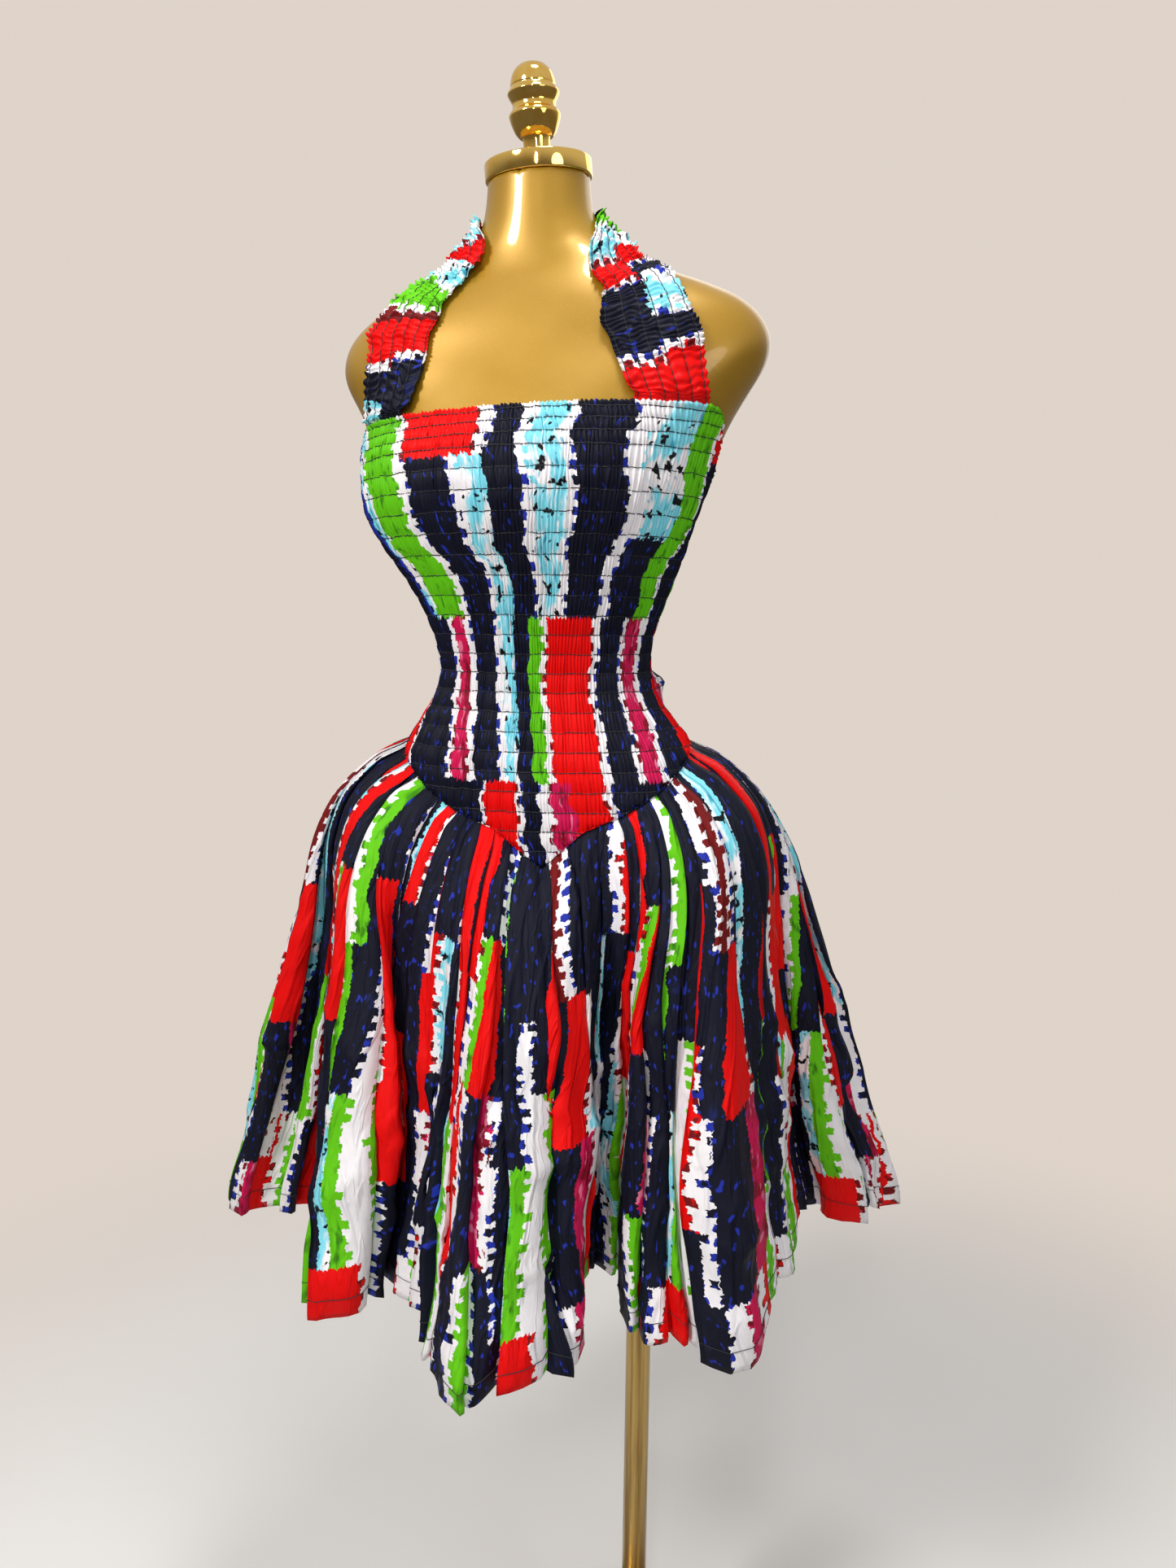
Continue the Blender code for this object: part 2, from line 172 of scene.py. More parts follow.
def treeOf(mesh):
    bm = bmesh.new()
    bm.from_mesh(mesh)
    tree = BVHTree.FromBMesh(bm)
    bm.free()
    return tree


# material helpers

def blankMaterial(name):
    material = bpy.data.materials.new(name)
    material.use_nodes = True
    return material, material.node_tree, material.node_tree.nodes["Principled BSDF"]


# one node; its inputs are values or sockets, given by name, or by place as i0, i1 and so on
def put(tree, kind, settings=None, **inputs):
    made = tree.nodes.new(kind)
    for key, value in (settings or {}).items():
        setattr(made, key, value)
    for key, value in inputs.items():
        isPlace = key[0] == "i" and key[1:].isdigit()
        socket = made.inputs[int(key[1:])] if isPlace else made.inputs[key.replace("_", " ")]
        if isinstance(value, bpy.types.NodeSocket):
            tree.links.new(value, socket)
        else:
            socket.default_value = value
    return made


def maths(tree, operation, a, b=0.0):
    return put(tree, "ShaderNodeMath", {"operation": operation}, i0=a, i1=b).outputs[0]


def times(tree, a, b):
    return maths(tree, "MULTIPLY", a, b)


def tint(tree, share, under, over):  # colour under, turned to over by share
    mix = put(tree, "ShaderNodeMix", {"data_type": "RGBA"}, i0=share)
    for place, colour in ((6, under), (7, over)):
        if isinstance(colour, bpy.types.NodeSocket):
            tree.links.new(colour, mix.inputs[place])
        else:
            mix.inputs[place].default_value = (*colour, 1)
    return mix.outputs[2]


def step(tree, value, low, high):  # 0 below low, 1 above high
    return put(
        tree, "ShaderNodeMapRange", {"interpolation_type": "SMOOTHSTEP"}, i0=value, i1=low, i2=high
    ).outputs[0]


def spread(tree, value, low, high, least, most):  # low to high turned into least to most
    return put(tree, "ShaderNodeMapRange", i0=value, i1=low, i2=high, i3=least, i4=most).outputs[0]


def noiseAt(tree, vector, scale, detail=2.0, roughness=0.5):
    made = put(tree, "ShaderNodeTexNoise", Vector=vector, Scale=scale, Detail=detail, Roughness=roughness)
    return made.outputs["Fac"]


def stretched(tree, vector, x, y, z=1.0):
    return put(tree, "ShaderNodeVectorMath", {"operation": "MULTIPLY"}, i0=vector, i1=(x, y, z)).outputs[0]


def newGroup(name, inputs, outputs):
    group = bpy.data.node_groups.new(name, "ShaderNodeTree")
    for label, kind, value in inputs:
        socket = group.interface.new_socket(name=label, in_out="INPUT", socket_type=kind)
        if value is not None:
            socket.default_value = value
    for label, kind in outputs:
        group.interface.new_socket(name=label, in_out="OUTPUT", socket_type=kind)
    return group, group.nodes.new("NodeGroupInput"), group.nodes.new("NodeGroupOutput")


def useGroup(tree, group, **inputs):
    return put(tree, "ShaderNodeGroup", {"node_tree": group}, **inputs)


# the printed cotton: upright stripes with ragged, toothed edges, charted in millimetres of cloth

paint = {
    "navy": (0.006, 0.007, 0.016),
    "blue": (0.016, 0.030, 0.330),
    "red": (0.720, 0.003, 0.003),
    "maroon": (0.150, 0.007, 0.008),
    "white": (0.830, 0.800, 0.820),
    "sky": (0.200, 0.640, 0.760),
    "teal": (0.045, 0.320, 0.450),
    "green": (0.115, 0.500, 0.008),
    "magenta": (0.560, 0.008, 0.080),
    "black": (0.006, 0.006, 0.009),
}
letters = {
    "N": "navy", "L": "sky", "G": "green", "W": "white", "R": "red", "M": "magenta", "K": "maroon",
    "B": "blue",
}
bodicePrint = {
    "start": -0.345,
    "scale": 1.0,
    "bands": (
        "N97 B18 L22 W10 G59 W18 R87 W18 N33 W12 L37 W11 N63 W28 L55 G39 W10 R73 W12 N66 W18 L40 N64"
        " W10 G44 N80 R52 W14",
        "N97 B18 L22 W10 G59 W15 N56 W15 L29 N41 W12 L37 W11 N63 W28 L55 G39 W10 N85"
        " R40 W14 N70 L40 N60 W14 G44 N80 R52 W14 N70 L40 W16",
        "N97 B12 L18 W10 G69 W15 N56 W15 L29 N41 W12 L37 W11 N63 W24 N59 G39 W10 N85"
        " R40 W14 N70 L40 N60 W14 G44 N80 R52 W14 N70 L40 W16",
        "R30 W15 N111 W19 M28 W20 N51 W17 L25 N29 G26 W14 R88 W20 N50 W16 M34 W20 N60"
        " R70 W14 N86 W16 G40 W12 N84 L38 W12 R60 W14 N90",
        "N236 W14 R58 W15 N30 W24 M40 R56 W20 N197 R70 W20 N120 L40 W12 N90 G40 W14",
    ),
    "changes": (0.042, 0.108, 0.178, 0.325),
    "stagger": "0",
}
skirtPrint = {
    "start": 0.0,
    "scale": 0.66,
    "bands": (
        "N46 L26 N44 W24 K14 W18 N74 L18 N60 W18 R26 W14 N90 W24 R44 N54 W22 R56 N40 L30 W12 R22 N100 W20"
        " N56 W26 G16 N42",
        "N44 R62 N50 R60 W18 L30 N48 R34 N40 W48 N44 R70 W12 L24 N52 W22 R64 N44 W24 G10 R84 N58 W22 G12"
        " N40 W22",
        "W24 G20 W20 R56 W24 N60 M30 W30 N48 G14 W22 R84 N36 W26 M22 N50 W32 N44 L22 G12 W26 R82 W20 N60"
        " M24 W26 N66 L16 G18 W24",
        "W32 G20 W24 N66 W26 M30 W24 R40 W22 G18 W30 N60 R50 W36 G14 R44 W24 N72 W20 G20 W34 M20 R30 W24"
        " N52 W22 G14 W18 N40 W24 R88",
    ),
    "changes": (0.130, 0.270, 0.425),
    "stagger": "42 -18 30 -34 12 -8 38 -26",
}
strapPrint = {
    "start": 0.0,
    "scale": 1.0,
    "bands": (
        "R30 W12 N66 W10 R24 W8 L34 W10 G36 N120 N52 W9 R34 K7 W10 G26 W8 L24 R15 W8 L30 R40",
        "R36 W14 N24 W8 L30 W8 N10 W9 R24 L40 G36 N111 L24 N20 W9 R36 K8 W12 G26 W8 L26 R16 W8 L28 R40",
    ),
    "changes": (0.040,),
    "stagger": "0",
}
slideSpan = 0.1  # a colour stop holds slides of up to half of this, up or down
teeth = {
    "cell": 0.030,
    "gap": 0.42,
    "uneven": 1.1,
    "reach": 0.0085,
    "before": (0.0140, 0.1),  # pitch, shift
    "after": (0.0120, 0.7),
}
edges = {  # stretch of the noise, its detail, and how far it moves the print
    "fine": ((210, 300, 1), 2.0, 0.0055),
    "broad": ((14, 34, 1), 1.0, 0.011),
    "teeth": ((300, 170, 9), 2.0, 0.005),
    "changes": ((330, 60, 1), 1.0, 0.012),
}
colourLimits = {  # red from and to, green from and to
    "sky": (0.17, 0.25, 0.55, 0.75),
    "navy": (0.0, 0.015, 0.0, 0.02),
    "red": (0.7, 1.0, 0.0, 0.1),
    "magenta": (0.4, 0.7, 0.0, 0.1),
    "green": (0.08, 0.15, 0.4, 0.6),
    "white": (0.7, 1.0, 0.7, 1.0),
}
redOrMagenta = (0.5, 1.0, 0.0, 0.1)
dyeNoises = {  # stretch of the noise, its detail and roughness
    "broad": ((48, 26, 1), 3.0, 0.5),
    "pools": ((120, 46, 3), 2.0, 0.5),
    "brush": ((260, 34, 3), 2.0, 0.5),
    "dashes": ((78, 84, 5), 2.0, 0.5),
    "flecks": ((190, 80, 7), 1.0, 0.5),
    "stains": ((44, 30, 2), 4.0, 0.6),
}
dyeMarks = (  # the colour it lies on, its noise, from, to, share, its own colour
    ("sky", "broad", 0.50, 0.60, 1.0, paint["white"]),
    ("sky", "brush", 0.56, 0.70, 1.0, paint["white"]),
    ("sky", "pools", 0.60, 0.70, 1.0, paint["teal"]),
    ("sky", "dashes", 0.59, 0.63, 1.0, paint["black"]),
    ("navy", "flecks", 0.63, 0.70, 1.0, paint["blue"]),
    ("navy", "broad", 0.62, 0.76, 1.0, (0.012, 0.018, 0.10)),
    ("red", "stains", 0.55, 0.80, 0.30, (0.36, 0.006, 0.008)),
    ("magenta", "stains", 0.50, 0.62, 1.0, (0.22, 0.005, 0.02)),
    ("magenta", "pools", 0.58, 0.66, 1.0, (0.70, 0.16, 0.28)),
    ("green", "pools", 0.54, 0.72, 1.0, (0.03, 0.17, 0.006)),
    ("white", "stains", 0.40, 0.75, 0.30, (0.50, 0.50, 0.60)),
)
weave = {
    "threads": 420.0,
    "threadShare": 0.04,
    "crumples": (((60, 26, 1), 4.0, 0.6, 0.6), ((190, 120, 1), 3.0, 0.5, 0.12)),  # and their share last
    "ridges": ((26, 5, 1.1), (64, 13, 0.35)),  # across, down, share
}


def chartLength(chart):
    widest = max(sum(float(entry[1:]) for entry in band.split()) for band in chart["bands"])
    return widest * chart["scale"] / 1000


def stripeRamp(tree, share, band, chart):
    ramp = put(tree, "ShaderNodeValToRGB", Fac=share)
    stops = ramp.color_ramp
    stops.interpolation = "CONSTANT"
    stops.elements.remove(stops.elements[-1])
    place = 0.0
    for k, entry in enumerate(band.split()):
        stop = stops.elements[0] if k == 0 else stops.elements.new(place)
        stop.position = place
        stop.color = (*paint[letters[entry[0]]], 1)
        place += float(entry[1:]) * chart["scale"] / 1000 / chartLength(chart)
    return ramp.outputs[0]


def staggerRamp(tree, share, stagger):  # how far each stripe's colour changes slide up or down
    ramp = put(tree, "ShaderNodeValToRGB", Fac=share)
    stops = ramp.color_ramp
    stops.interpolation = "CONSTANT"
    stops.elements.remove(stops.elements[-1])
    slides = [float(word) for word in stagger.split()]
    for k, slide in enumerate(slides):
        stop = stops.elements[0] if k == 0 else stops.elements.new(k / len(slides))
        stop.position = k / len(slides)
        stop.color = (*((slide / 1000 / slideSpan + 0.5),) * 3, 1)
    centred = maths(tree, "SUBTRACT", ramp.outputs[0], 0.5)
    return times(tree, centred, slideSpan)


def makeStripes(name, chart):  # the plain stripes of one chart
    tree, ins, outs = newGroup(
        name,
        [("Across", "NodeSocketFloat", 0.0), ("Down", "NodeSocketFloat", 0.0)],
        [("Color", "NodeSocketColor")],
    )
    along = maths(tree, "SUBTRACT", ins.outputs["Across"], chart["start"])
    share = maths(tree, "FRACT", maths(tree, "DIVIDE", along, chartLength(chart)))
    slid = maths(tree, "ADD", ins.outputs["Down"], staggerRamp(tree, share, chart["stagger"]))
    colour = stripeRamp(tree, share, chart["bands"][0], chart)
    for band, change in zip(chart["bands"][1:], chart["changes"]):
        isPast = maths(tree, "GREATER_THAN", slid, change)
        colour = tint(tree, isPast, colour, stripeRamp(tree, share, band, chart))
    tree.links.new(colour, outs.inputs["Color"])
    return tree


def toothDepth(tree, across, down, pitch, seed):  # blocky teeth of uneven depth, with gaps between them
    row = maths(tree, "DIVIDE", maths(tree, "ADD", down, seed), pitch)
    cell = put(
        tree, "ShaderNodeCombineXYZ",
        X=maths(tree, "FLOOR", maths(tree, "DIVIDE", across, teeth["cell"])), Y=maths(tree, "FLOOR", row),
        Z=seed,
    ).outputs[0]
    chance = put(tree, "ShaderNodeTexWhiteNoise", Vector=cell).outputs["Value"]
    isTooth = maths(tree, "GREATER_THAN", maths(tree, "FRACT", row), teeth["gap"])
    depth = times(tree, maths(tree, "POWER", chance, teeth["uneven"]), teeth["reach"])
    return times(tree, isTooth, depth)


def colourIs(tree, colour, redLow, redHigh, greenLow, greenHigh):
    rgb = put(tree, "ShaderNodeSeparateColor", Color=colour)
    sides = []
    for place, low, high in ((0, redLow, redHigh), (1, greenLow, greenHigh)):
        isAbove = maths(tree, "GREATER_THAN", rgb.outputs[place], low)
        isBelow = maths(tree, "LESS_THAN", rgb.outputs[place], high)
        sides.append(times(tree, isAbove, isBelow))
    return times(tree, *sides)


def makeDye():  # flecks, dashes, pools and stains, each in its own colour's areas
    tree, ins, outs = newGroup(
        "handBrushedDye",
        [("Color", "NodeSocketColor", None), ("Vector", "NodeSocketVector", None)],
        [("Color", "NodeSocketColor")],
    )
    where, colour = ins.outputs["Vector"], ins.outputs["Color"]
    areas = {name: colourIs(tree, colour, *limits) for name, limits in colourLimits.items()}
    noises = {
        name: noiseAt(tree, stretched(tree, where, *stretch), 1.0, detail, roughness)
        for name, (stretch, detail, roughness) in dyeNoises.items()
    }
    for area, noise, low, high, share, over in dyeMarks:
        mark = times(tree, areas[area], step(tree, noises[noise], low, high))
        colour = tint(tree, mark if share == 1 else times(tree, mark, share), colour, over)
    tree.links.new(colour, outs.inputs["Color"])
    return tree


def wobble(tree, where, kind):
    stretch, detail, reach = edges[kind]
    noise = noiseAt(tree, stretched(tree, where, *stretch), 1.0, detail)
    return times(tree, maths(tree, "SUBTRACT", noise, 0.5), reach)


def darker(tree, one, other):
    mix = put(tree, "ShaderNodeMix", {"data_type": "RGBA", "blend_type": "DARKEN"}, i0=1.0, i6=one, i7=other)
    return mix.outputs[2]


def makePrint(name, chart):  # stripes with wandering edges, and dark teeth reaching into the pale ones
    stripes = makeStripes(name + "Chart", chart)
    tree, ins, outs = newGroup(name, [("Vector", "NodeSocketVector", None)], [("Color", "NodeSocketColor")])
    where = ins.outputs["Vector"]
    parts = put(tree, "ShaderNodeSeparateXYZ", Vector=where)
    wander = maths(tree, "ADD", wobble(tree, where, "fine"), wobble(tree, where, "broad"))
    across = maths(tree, "ADD", parts.outputs[0], wander)
    toothDown = maths(tree, "ADD", parts.outputs[1], wobble(tree, where, "teeth"))
    down = maths(tree, "ADD", parts.outputs[1], wobble(tree, where, "changes"))
    before = maths(tree, "SUBTRACT", across, toothDepth(tree, across, toothDown, *teeth["before"]))
    after = maths(tree, "ADD", across, toothDepth(tree, across, toothDown, *teeth["after"]))
    colour, *sides = [
        useGroup(tree, stripes, Across=place, Down=down).outputs[0] for place in (across, before, after)
    ]
    near = darker(tree, *sides)
    isRedNear = colourIs(tree, near, *redOrMagenta)
    patchy = step(tree, noiseAt(tree, stretched(tree, where, 160, 120, 4), 1.0, 1.0), 0.40, 0.50)
    near = tint(tree, times(tree, isRedNear, patchy), near, paint["maroon"])
    isNavyNear = colourIs(tree, near, *colourLimits["navy"])
    bluish = step(tree, noiseAt(tree, stretched(tree, where, 130, 70, 6), 1.0, 1.0), 0.46, 0.52)
    near = tint(tree, times(tree, isNavyNear, bluish), near, paint["blue"])
    isPale = colourIs(tree, colour, *colourLimits["white"])
    colour = tint(tree, isPale, colour, darker(tree, colour, near))
    dyed = useGroup(tree, handBrushedDye, Color=colour, Vector=where)
    tree.links.new(dyed.outputs["Color"], outs.inputs["Color"])
    return tree


def makeWeave():  # fine threads, small soft crumples, and thin ridges
    tree, ins, outs = newGroup(
        "cottonSurface",
        [("Vector", "NodeSocketVector", None), ("Crumple", "NodeSocketFloat", 1.0)],
        [("Height", "NodeSocketFloat")],
    )
    where = ins.outputs["Vector"]
    warp, weft = (
        put(
            tree, "ShaderNodeTexWave", {"bands_direction": way}, Vector=where, Scale=weave["threads"],
            Distortion=1.5,
        ).outputs["Fac"]
        for way in ("X", "Y")
    )
    threads = times(tree, maths(tree, "ADD", warp, weft), weave["threadShare"])
    crumple = 0.0
    for stretch, detail, roughness, share in weave["crumples"]:
        soft = noiseAt(tree, stretched(tree, where, *stretch), 1.0, detail, roughness)
        crumple = maths(tree, "ADD", crumple, times(tree, soft, share))
    for wide, tall, share in weave["ridges"]:
        field = noiseAt(tree, stretched(tree, where, wide, tall, wide), 1.0, 2.0)
        away = maths(tree, "ABSOLUTE", maths(tree, "SUBTRACT", field, 0.5))
        crumple = maths(tree, "ADD", crumple, times(tree, step(tree, away, 0.05, 0.0), share))
    height = maths(tree, "ADD", threads, times(tree, crumple, ins.outputs["Crumple"]))
    tree.links.new(height, outs.inputs["Height"])
    return tree


def clothMaterial(name, chart, crumple, bump, deep):
    material, tree, shader = blankMaterial(name)
    uv = put(tree, "ShaderNodeUVMap", {"uv_map": "cloth"}).outputs[0]
    dye = useGroup(tree, makePrint(name + "Print", chart), Vector=uv)
    surface = useGroup(tree, cottonSurface, Vector=uv, Crumple=crumple)
    relief = put(tree, "ShaderNodeBump", Strength=bump, Distance=deep, Height=surface.outputs["Height"])
    tree.links.new(dye.outputs["Color"], shader.inputs["Base Color"])
    tree.links.new(relief.outputs[0], shader.inputs["Normal"])
    rough = spread(tree, surface.outputs["Height"], 0.2, 1.2, 0.44, 0.62)
    tree.links.new(rough, shader.inputs["Roughness"])
    shader.inputs["Specular IOR Level"].default_value = 0.09
    return material


def goldPaintMaterial():
    material, tree, shader = blankMaterial("goldPaint")
    where = put(tree, "ShaderNodeTexCoord").outputs["Object"]
    sparkle = times(tree, step(tree, noiseAt(tree, where, 900.0, 1.0), 0.55, 0.75), 0.22)
    drift = step(tree, noiseAt(tree, where, 7.0, 3.0), 0.35, 0.70)
    colour = tint(tree, drift, (0.340, 0.183, 0.006), (0.385, 0.212, 0.009))
    colour = tint(tree, sparkle, colour, (0.560, 0.330, 0.040))
    tree.links.new(colour, shader.inputs["Base Color"])
    rough = spread(tree, noiseAt(tree, where, 24.0, 4.0), 0.3, 0.7, 0.36, 0.42)
    tree.links.new(rough, shader.inputs["Roughness"])
    waves = noiseAt(tree, where, 60.0, 2.0)
    ripple = put(tree, "ShaderNodeBump", Strength=0.03, Distance=0.001, Height=waves)
    tree.links.new(ripple.outputs[0], shader.inputs["Normal"])
    shader.inputs["Metallic"].default_value = 0.30
    shader.inputs["Coat Weight"].default_value = 0.45
    shader.inputs["Coat Roughness"].default_value = 0.07
    return material


def metalMaterial(name, light, dark, roughLow, roughHigh, streak):
    material, tree, shader = blankMaterial(name)
    where = put(tree, "ShaderNodeTexCoord").outputs["Object"]
    wear = noiseAt(tree, stretched(tree, where, *streak), 1.0, 4.0, 0.6)
    tree.links.new(tint(tree, step(tree, wear, 0.40, 0.68), light, dark), shader.inputs["Base Color"])
    rough = spread(tree, wear, 0.3, 0.7, roughLow, roughHigh)
    tree.links.new(rough, shader.inputs["Roughness"])
    shader.inputs["Metallic"].default_value = 1.0
    return material


def threadMaterial():
    material, tree, shader = blankMaterial("blackThread")
    where = put(tree, "ShaderNodeTexCoord").outputs["Object"]
    twist = noiseAt(tree, where, 700.0, 1.0)
    colour = tint(tree, twist, (0.004, 0.004, 0.006), (0.020, 0.020, 0.026))
    tree.links.new(colour, shader.inputs["Base Color"])
    shader.inputs["Roughness"].default_value = 0.75
    return material


cottonSurface = makeWeave()
handBrushedDye = makeDye()
bodiceCotton = clothMaterial("bodiceCotton", bodicePrint, 0.30, 0.30, 0.0012)
strapCotton = clothMaterial("strapCotton", strapPrint, 0.40, 0.35, 0.0012)
skirtCotton = clothMaterial("skirtCotton", skirtPrint, 1.0, 0.65, 0.0025)
goldPaint = goldPaintMaterial()
polishedGold = metalMaterial(
    "polishedGold", (0.950, 0.640, 0.170), (0.860, 0.500, 0.090), 0.06, 0.08, (40, 40, 40)
)
agedBrass = metalMaterial(
    "agedBrass", (0.420, 0.290, 0.100), (0.200, 0.120, 0.040), 0.20, 0.34, (120, 120, 3)
)
satinBrass = metalMaterial(
    "satinBrass", (0.440, 0.300, 0.100), (0.360, 0.235, 0.070), 0.24, 0.32, (14, 14, 14)
)
blackThread = threadMaterial()
print("materials made")


# the dress form: the frame's own torso with its facets smoothed away

formShape = {"levels": 2, "weld": 0.00001, "flat": radians(30), "sharp": radians(60), "crease": 0.9}


def smoothForm():
    bm = bmesh.new()
    bm.from_mesh(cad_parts["form_body"].data)
    bmesh.ops.remove_doubles(bm, verts=bm.verts, dist=formShape["weld"])
    bmesh.ops.join_triangles(
        bm, faces=bm.faces, cmp_seam=False, cmp_sharp=False, cmp_uvs=False, cmp_vcols=False,
        cmp_materials=False, angle_face_threshold=formShape["flat"], angle_shape_threshold=radians(180),
    )
    creases = bm.edges.layers.float.new("crease_edge")
    for edge in bm.edges:
        if len(edge.link_faces) == 2 and edge.calc_face_angle() > formShape["sharp"]:
            edge[creases] = formShape["crease"]
    mesh = bpy.data.meshes.new("formShell")
    bm.to_mesh(mesh)
    bm.free()
    mesh.shade_smooth()
    piece = addPiece("formShell", mesh, goldPaint)
    soften = piece.modifiers.new("soften", "SUBSURF")
    soften.levels = soften.render_levels = formShape["levels"]
    settle(piece, "form_body")
    evaluated = piece.evaluated_get(bpy.context.evaluated_depsgraph_get())
    return treeOf(evaluated.to_mesh())


formTree = smoothForm()
print("dress form smoothed")

# where the bodice lies: the form's skin and the bodice's edges, both read from the frame

torso = {
    "middle": -0.105,
    "low": 0.92,
    "high": 1.37,
    "angleStep": 2.0,
    "heightStep": 0.004,
    "edgeLow": 0.93,
    "edgeStep": 0.001,
    "aside": 0.4,
    "lean": radians(3.5),  # the upper torso rolls sideways, about leanMiddle, between two heights
    "leanMiddle": -0.103,
    "leanLow": 1.22,
    "leanHigh": 1.40,
}
castAngles = np.arange(-90, 270 + torso["angleStep"], torso["angleStep"])
castHeights = np.arange(torso["low"], torso["high"], torso["heightStep"])


def outwards(degrees):
    return Vector((sin(radians(degrees)), -cos(radians(degrees)), 0))


def castSkin():
    table = np.zeros((len(castHeights), len(castAngles)))
    for j, height in enumerate(castHeights):
        for i, degrees in enumerate(castAngles):
            hit = formTree.ray_cast(Vector((torso["middle"], 0, height)), outwards(degrees))
            table[j, i] = hit[3] if hit[3] is not None else table[j, i - 1]
    return table


def castEdges():  # the highest and lowest place of the bodice at each angle
    trees = [treeOf(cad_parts[name].data) for name in ("bodice_front", "bodice_back")]
    tops, lows = [], []
    aside = torso["aside"]
    heights = np.arange(torso["edgeLow"], torso["high"], torso["edgeStep"])
    for degrees in castAngles:
        inside = degrees + (aside if degrees in (-90, 90) else -aside if degrees == 270 else 0)
        tree = trees[0] if -90 <= inside <= 90 else trees[1]
        found = [
            height
            for height in heights
            if tree.ray_cast(Vector((torso["middle"], 0, height)), outwards(inside))[0] is not None
        ]
        tops.append(found[-1] + torso["edgeStep"] / 2)
        lows.append(found[0] - torso["edgeStep"] / 2)
    return np.array(tops), np.array(lows)


skinTable = castSkin()
edgeTops, edgeLows = castEdges()


def skinOut(degrees, heights):  # distance of the form's skin from the torso's middle
    i = np.clip((degrees + 90) / torso["angleStep"], 0, len(castAngles) - 1.001)
    j = np.clip((heights - torso["low"]) / torso["heightStep"], 0, len(castHeights) - 1.001)
    i0, j0 = i.astype(int), j.astype(int)
    fi, fj = i - i0, j - j0
    low = skinTable[j0, i0] * (1 - fi) + skinTable[j0, i0 + 1] * fi
    high = skinTable[j0 + 1, i0] * (1 - fi) + skinTable[j0 + 1, i0 + 1] * fi
    return low * (1 - fj) + high * fj


def leanOf(x, height):
    share = ease(height, torso["leanLow"], torso["leanHigh"])
    return (x - torso["leanMiddle"]) * tan(torso["lean"]) * share


def skinPoints(degrees, levels):  # points on the skin at levels of the unleaned torso
    x = torso["middle"] + skinOut(degrees, levels) * np.sin(np.radians(degrees))
    heights = levels + leanOf(x, levels)
    out = skinOut(degrees, heights)
    return np.stack(
        [
            torso["middle"] + out * np.sin(np.radians(degrees)),
            -out * np.cos(np.radians(degrees)),
            heights,
        ],
        axis=-1,
    )


def levelOf(edges):  # an edge's height with the lean taken out
    x = torso["middle"] + skinOut(castAngles, edges) * np.sin(np.radians(castAngles))
    return edges - leanOf(x, edges)


topLevels, lowLevels = levelOf(edgeTops), levelOf(edgeLows)
print("torso read from the frame")

# the shirred bodice

bodice = {
    "header": 0.006,
    "narrowRows": (0.009, 0.010, 0.011),
    "rowPitch": 0.0175,
    "clothWidth": 1.16,
    "clothHeight": {"bodice_front": 0.41, "bodice_back": 0.30},
    "cutShare": 0.8,
    "bustLevel": 1.25,
    "gathers": 112,
    "perGather": {"bodice_front": 4, "bodice_back": 3},
    "within": (0.0, 0.13, 0.50, 0.87),
    "headerWithin": (0.0, 0.15, 0.40, 0.70, 1.0),
    "restOut": 0.0026,
    "puff": 0.0004,
    "gather": 0.0027,
    "stitchDip": 0.0004,
    "rollHeight": 1.101,
    "rollSpread": 0.012,
    "rollReach": 0.012,
    "thread": 0.00045,
    "cut": (  # down, how far the cloth is drawn in, how far its print sits to the right
        (0.000, 1.00, 0.020), (0.035, 1.00, 0.018), (0.090, 1.00, 0.000), (0.144, 0.84, 0.000),
        (0.187, 0.86, 0.000), (0.255, 0.81, 0.000), (0.310, 0.72, 0.000), (0.420, 0.70, 0.000),
    ),
}
topLevel = float(topLevels.max())
lowLevel = float(lowLevels.min())


# the elastic rows from the lowest up: wide spaces, then three narrow ones under the header
def stitchLevels():
    downs = [bodice["header"]]
    for space in bodice["narrowRows"]:
        downs.append(downs[-1] + space)
    while topLevel - downs[-1] > lowLevel:
        downs.append(downs[-1] + bodice["rowPitch"])
    return [topLevel - down for down in reversed(downs)]


stitchRows = stitchLevels()


def bodiceLevels():  # rows of vertices set by the stitch rows, then the header above them
    levels, places = [], []
    for row, (low, high) in enumerate(zip(stitchRows, stitchRows[1:])):
        for t in bodice["within"]:
            levels.append(low + (high - low) * t)
            places.append(row + t)
    for t in bodice["headerWithin"]:
        levels.append(topLevel - bodice["header"] * (1 - t))
        places.append(len(stitchRows) - 1 + t)
    return np.array(levels), np.array(places)


def evenAngles(first, count):  # angles that share the bust's girth evenly between them
    fine = np.linspace(first, first + 180, 721)
    run = skinPoints(fine, np.full(721, bodice["bustLevel"]))
    length = np.concatenate([[0], np.cumsum(np.linalg.norm(np.diff(run, axis=0), axis=1))])
    return np.interp(np.linspace(0, length[-1], count), length, fine)


def gatherGrid(first, perGather, seed):  # for each point: its gather, its row, its angle and its level
    degrees = evenAngles(first, bodice["gathers"] * perGather + 1)
    levels, places = bodiceLevels()
    number, place = np.meshgrid(np.arange(len(degrees)) / perGather, places)
    # each gather wanders a little from row to row, so the whole column of vertices goes with it
    gather = np.floor(number)
    border = np.minimum(1, np.minimum(number, bodice["gathers"] - number) / 3)
    wander = waver(1.9, gather * 0.43, place * 0.55, seed + 1)
    wander = wander + waver(0.9, gather * 2.7, place * 1.1, seed + 2)
    wander = wander + waver(2.2, number * 0.09, place * 0.23, seed + 5)
    angle = degrees + wander * border * (np.gradient(degrees) * perGather) * 0.55
    level = np.broadcast_to(levels[:, None], angle.shape)
    return number, place, angle, level


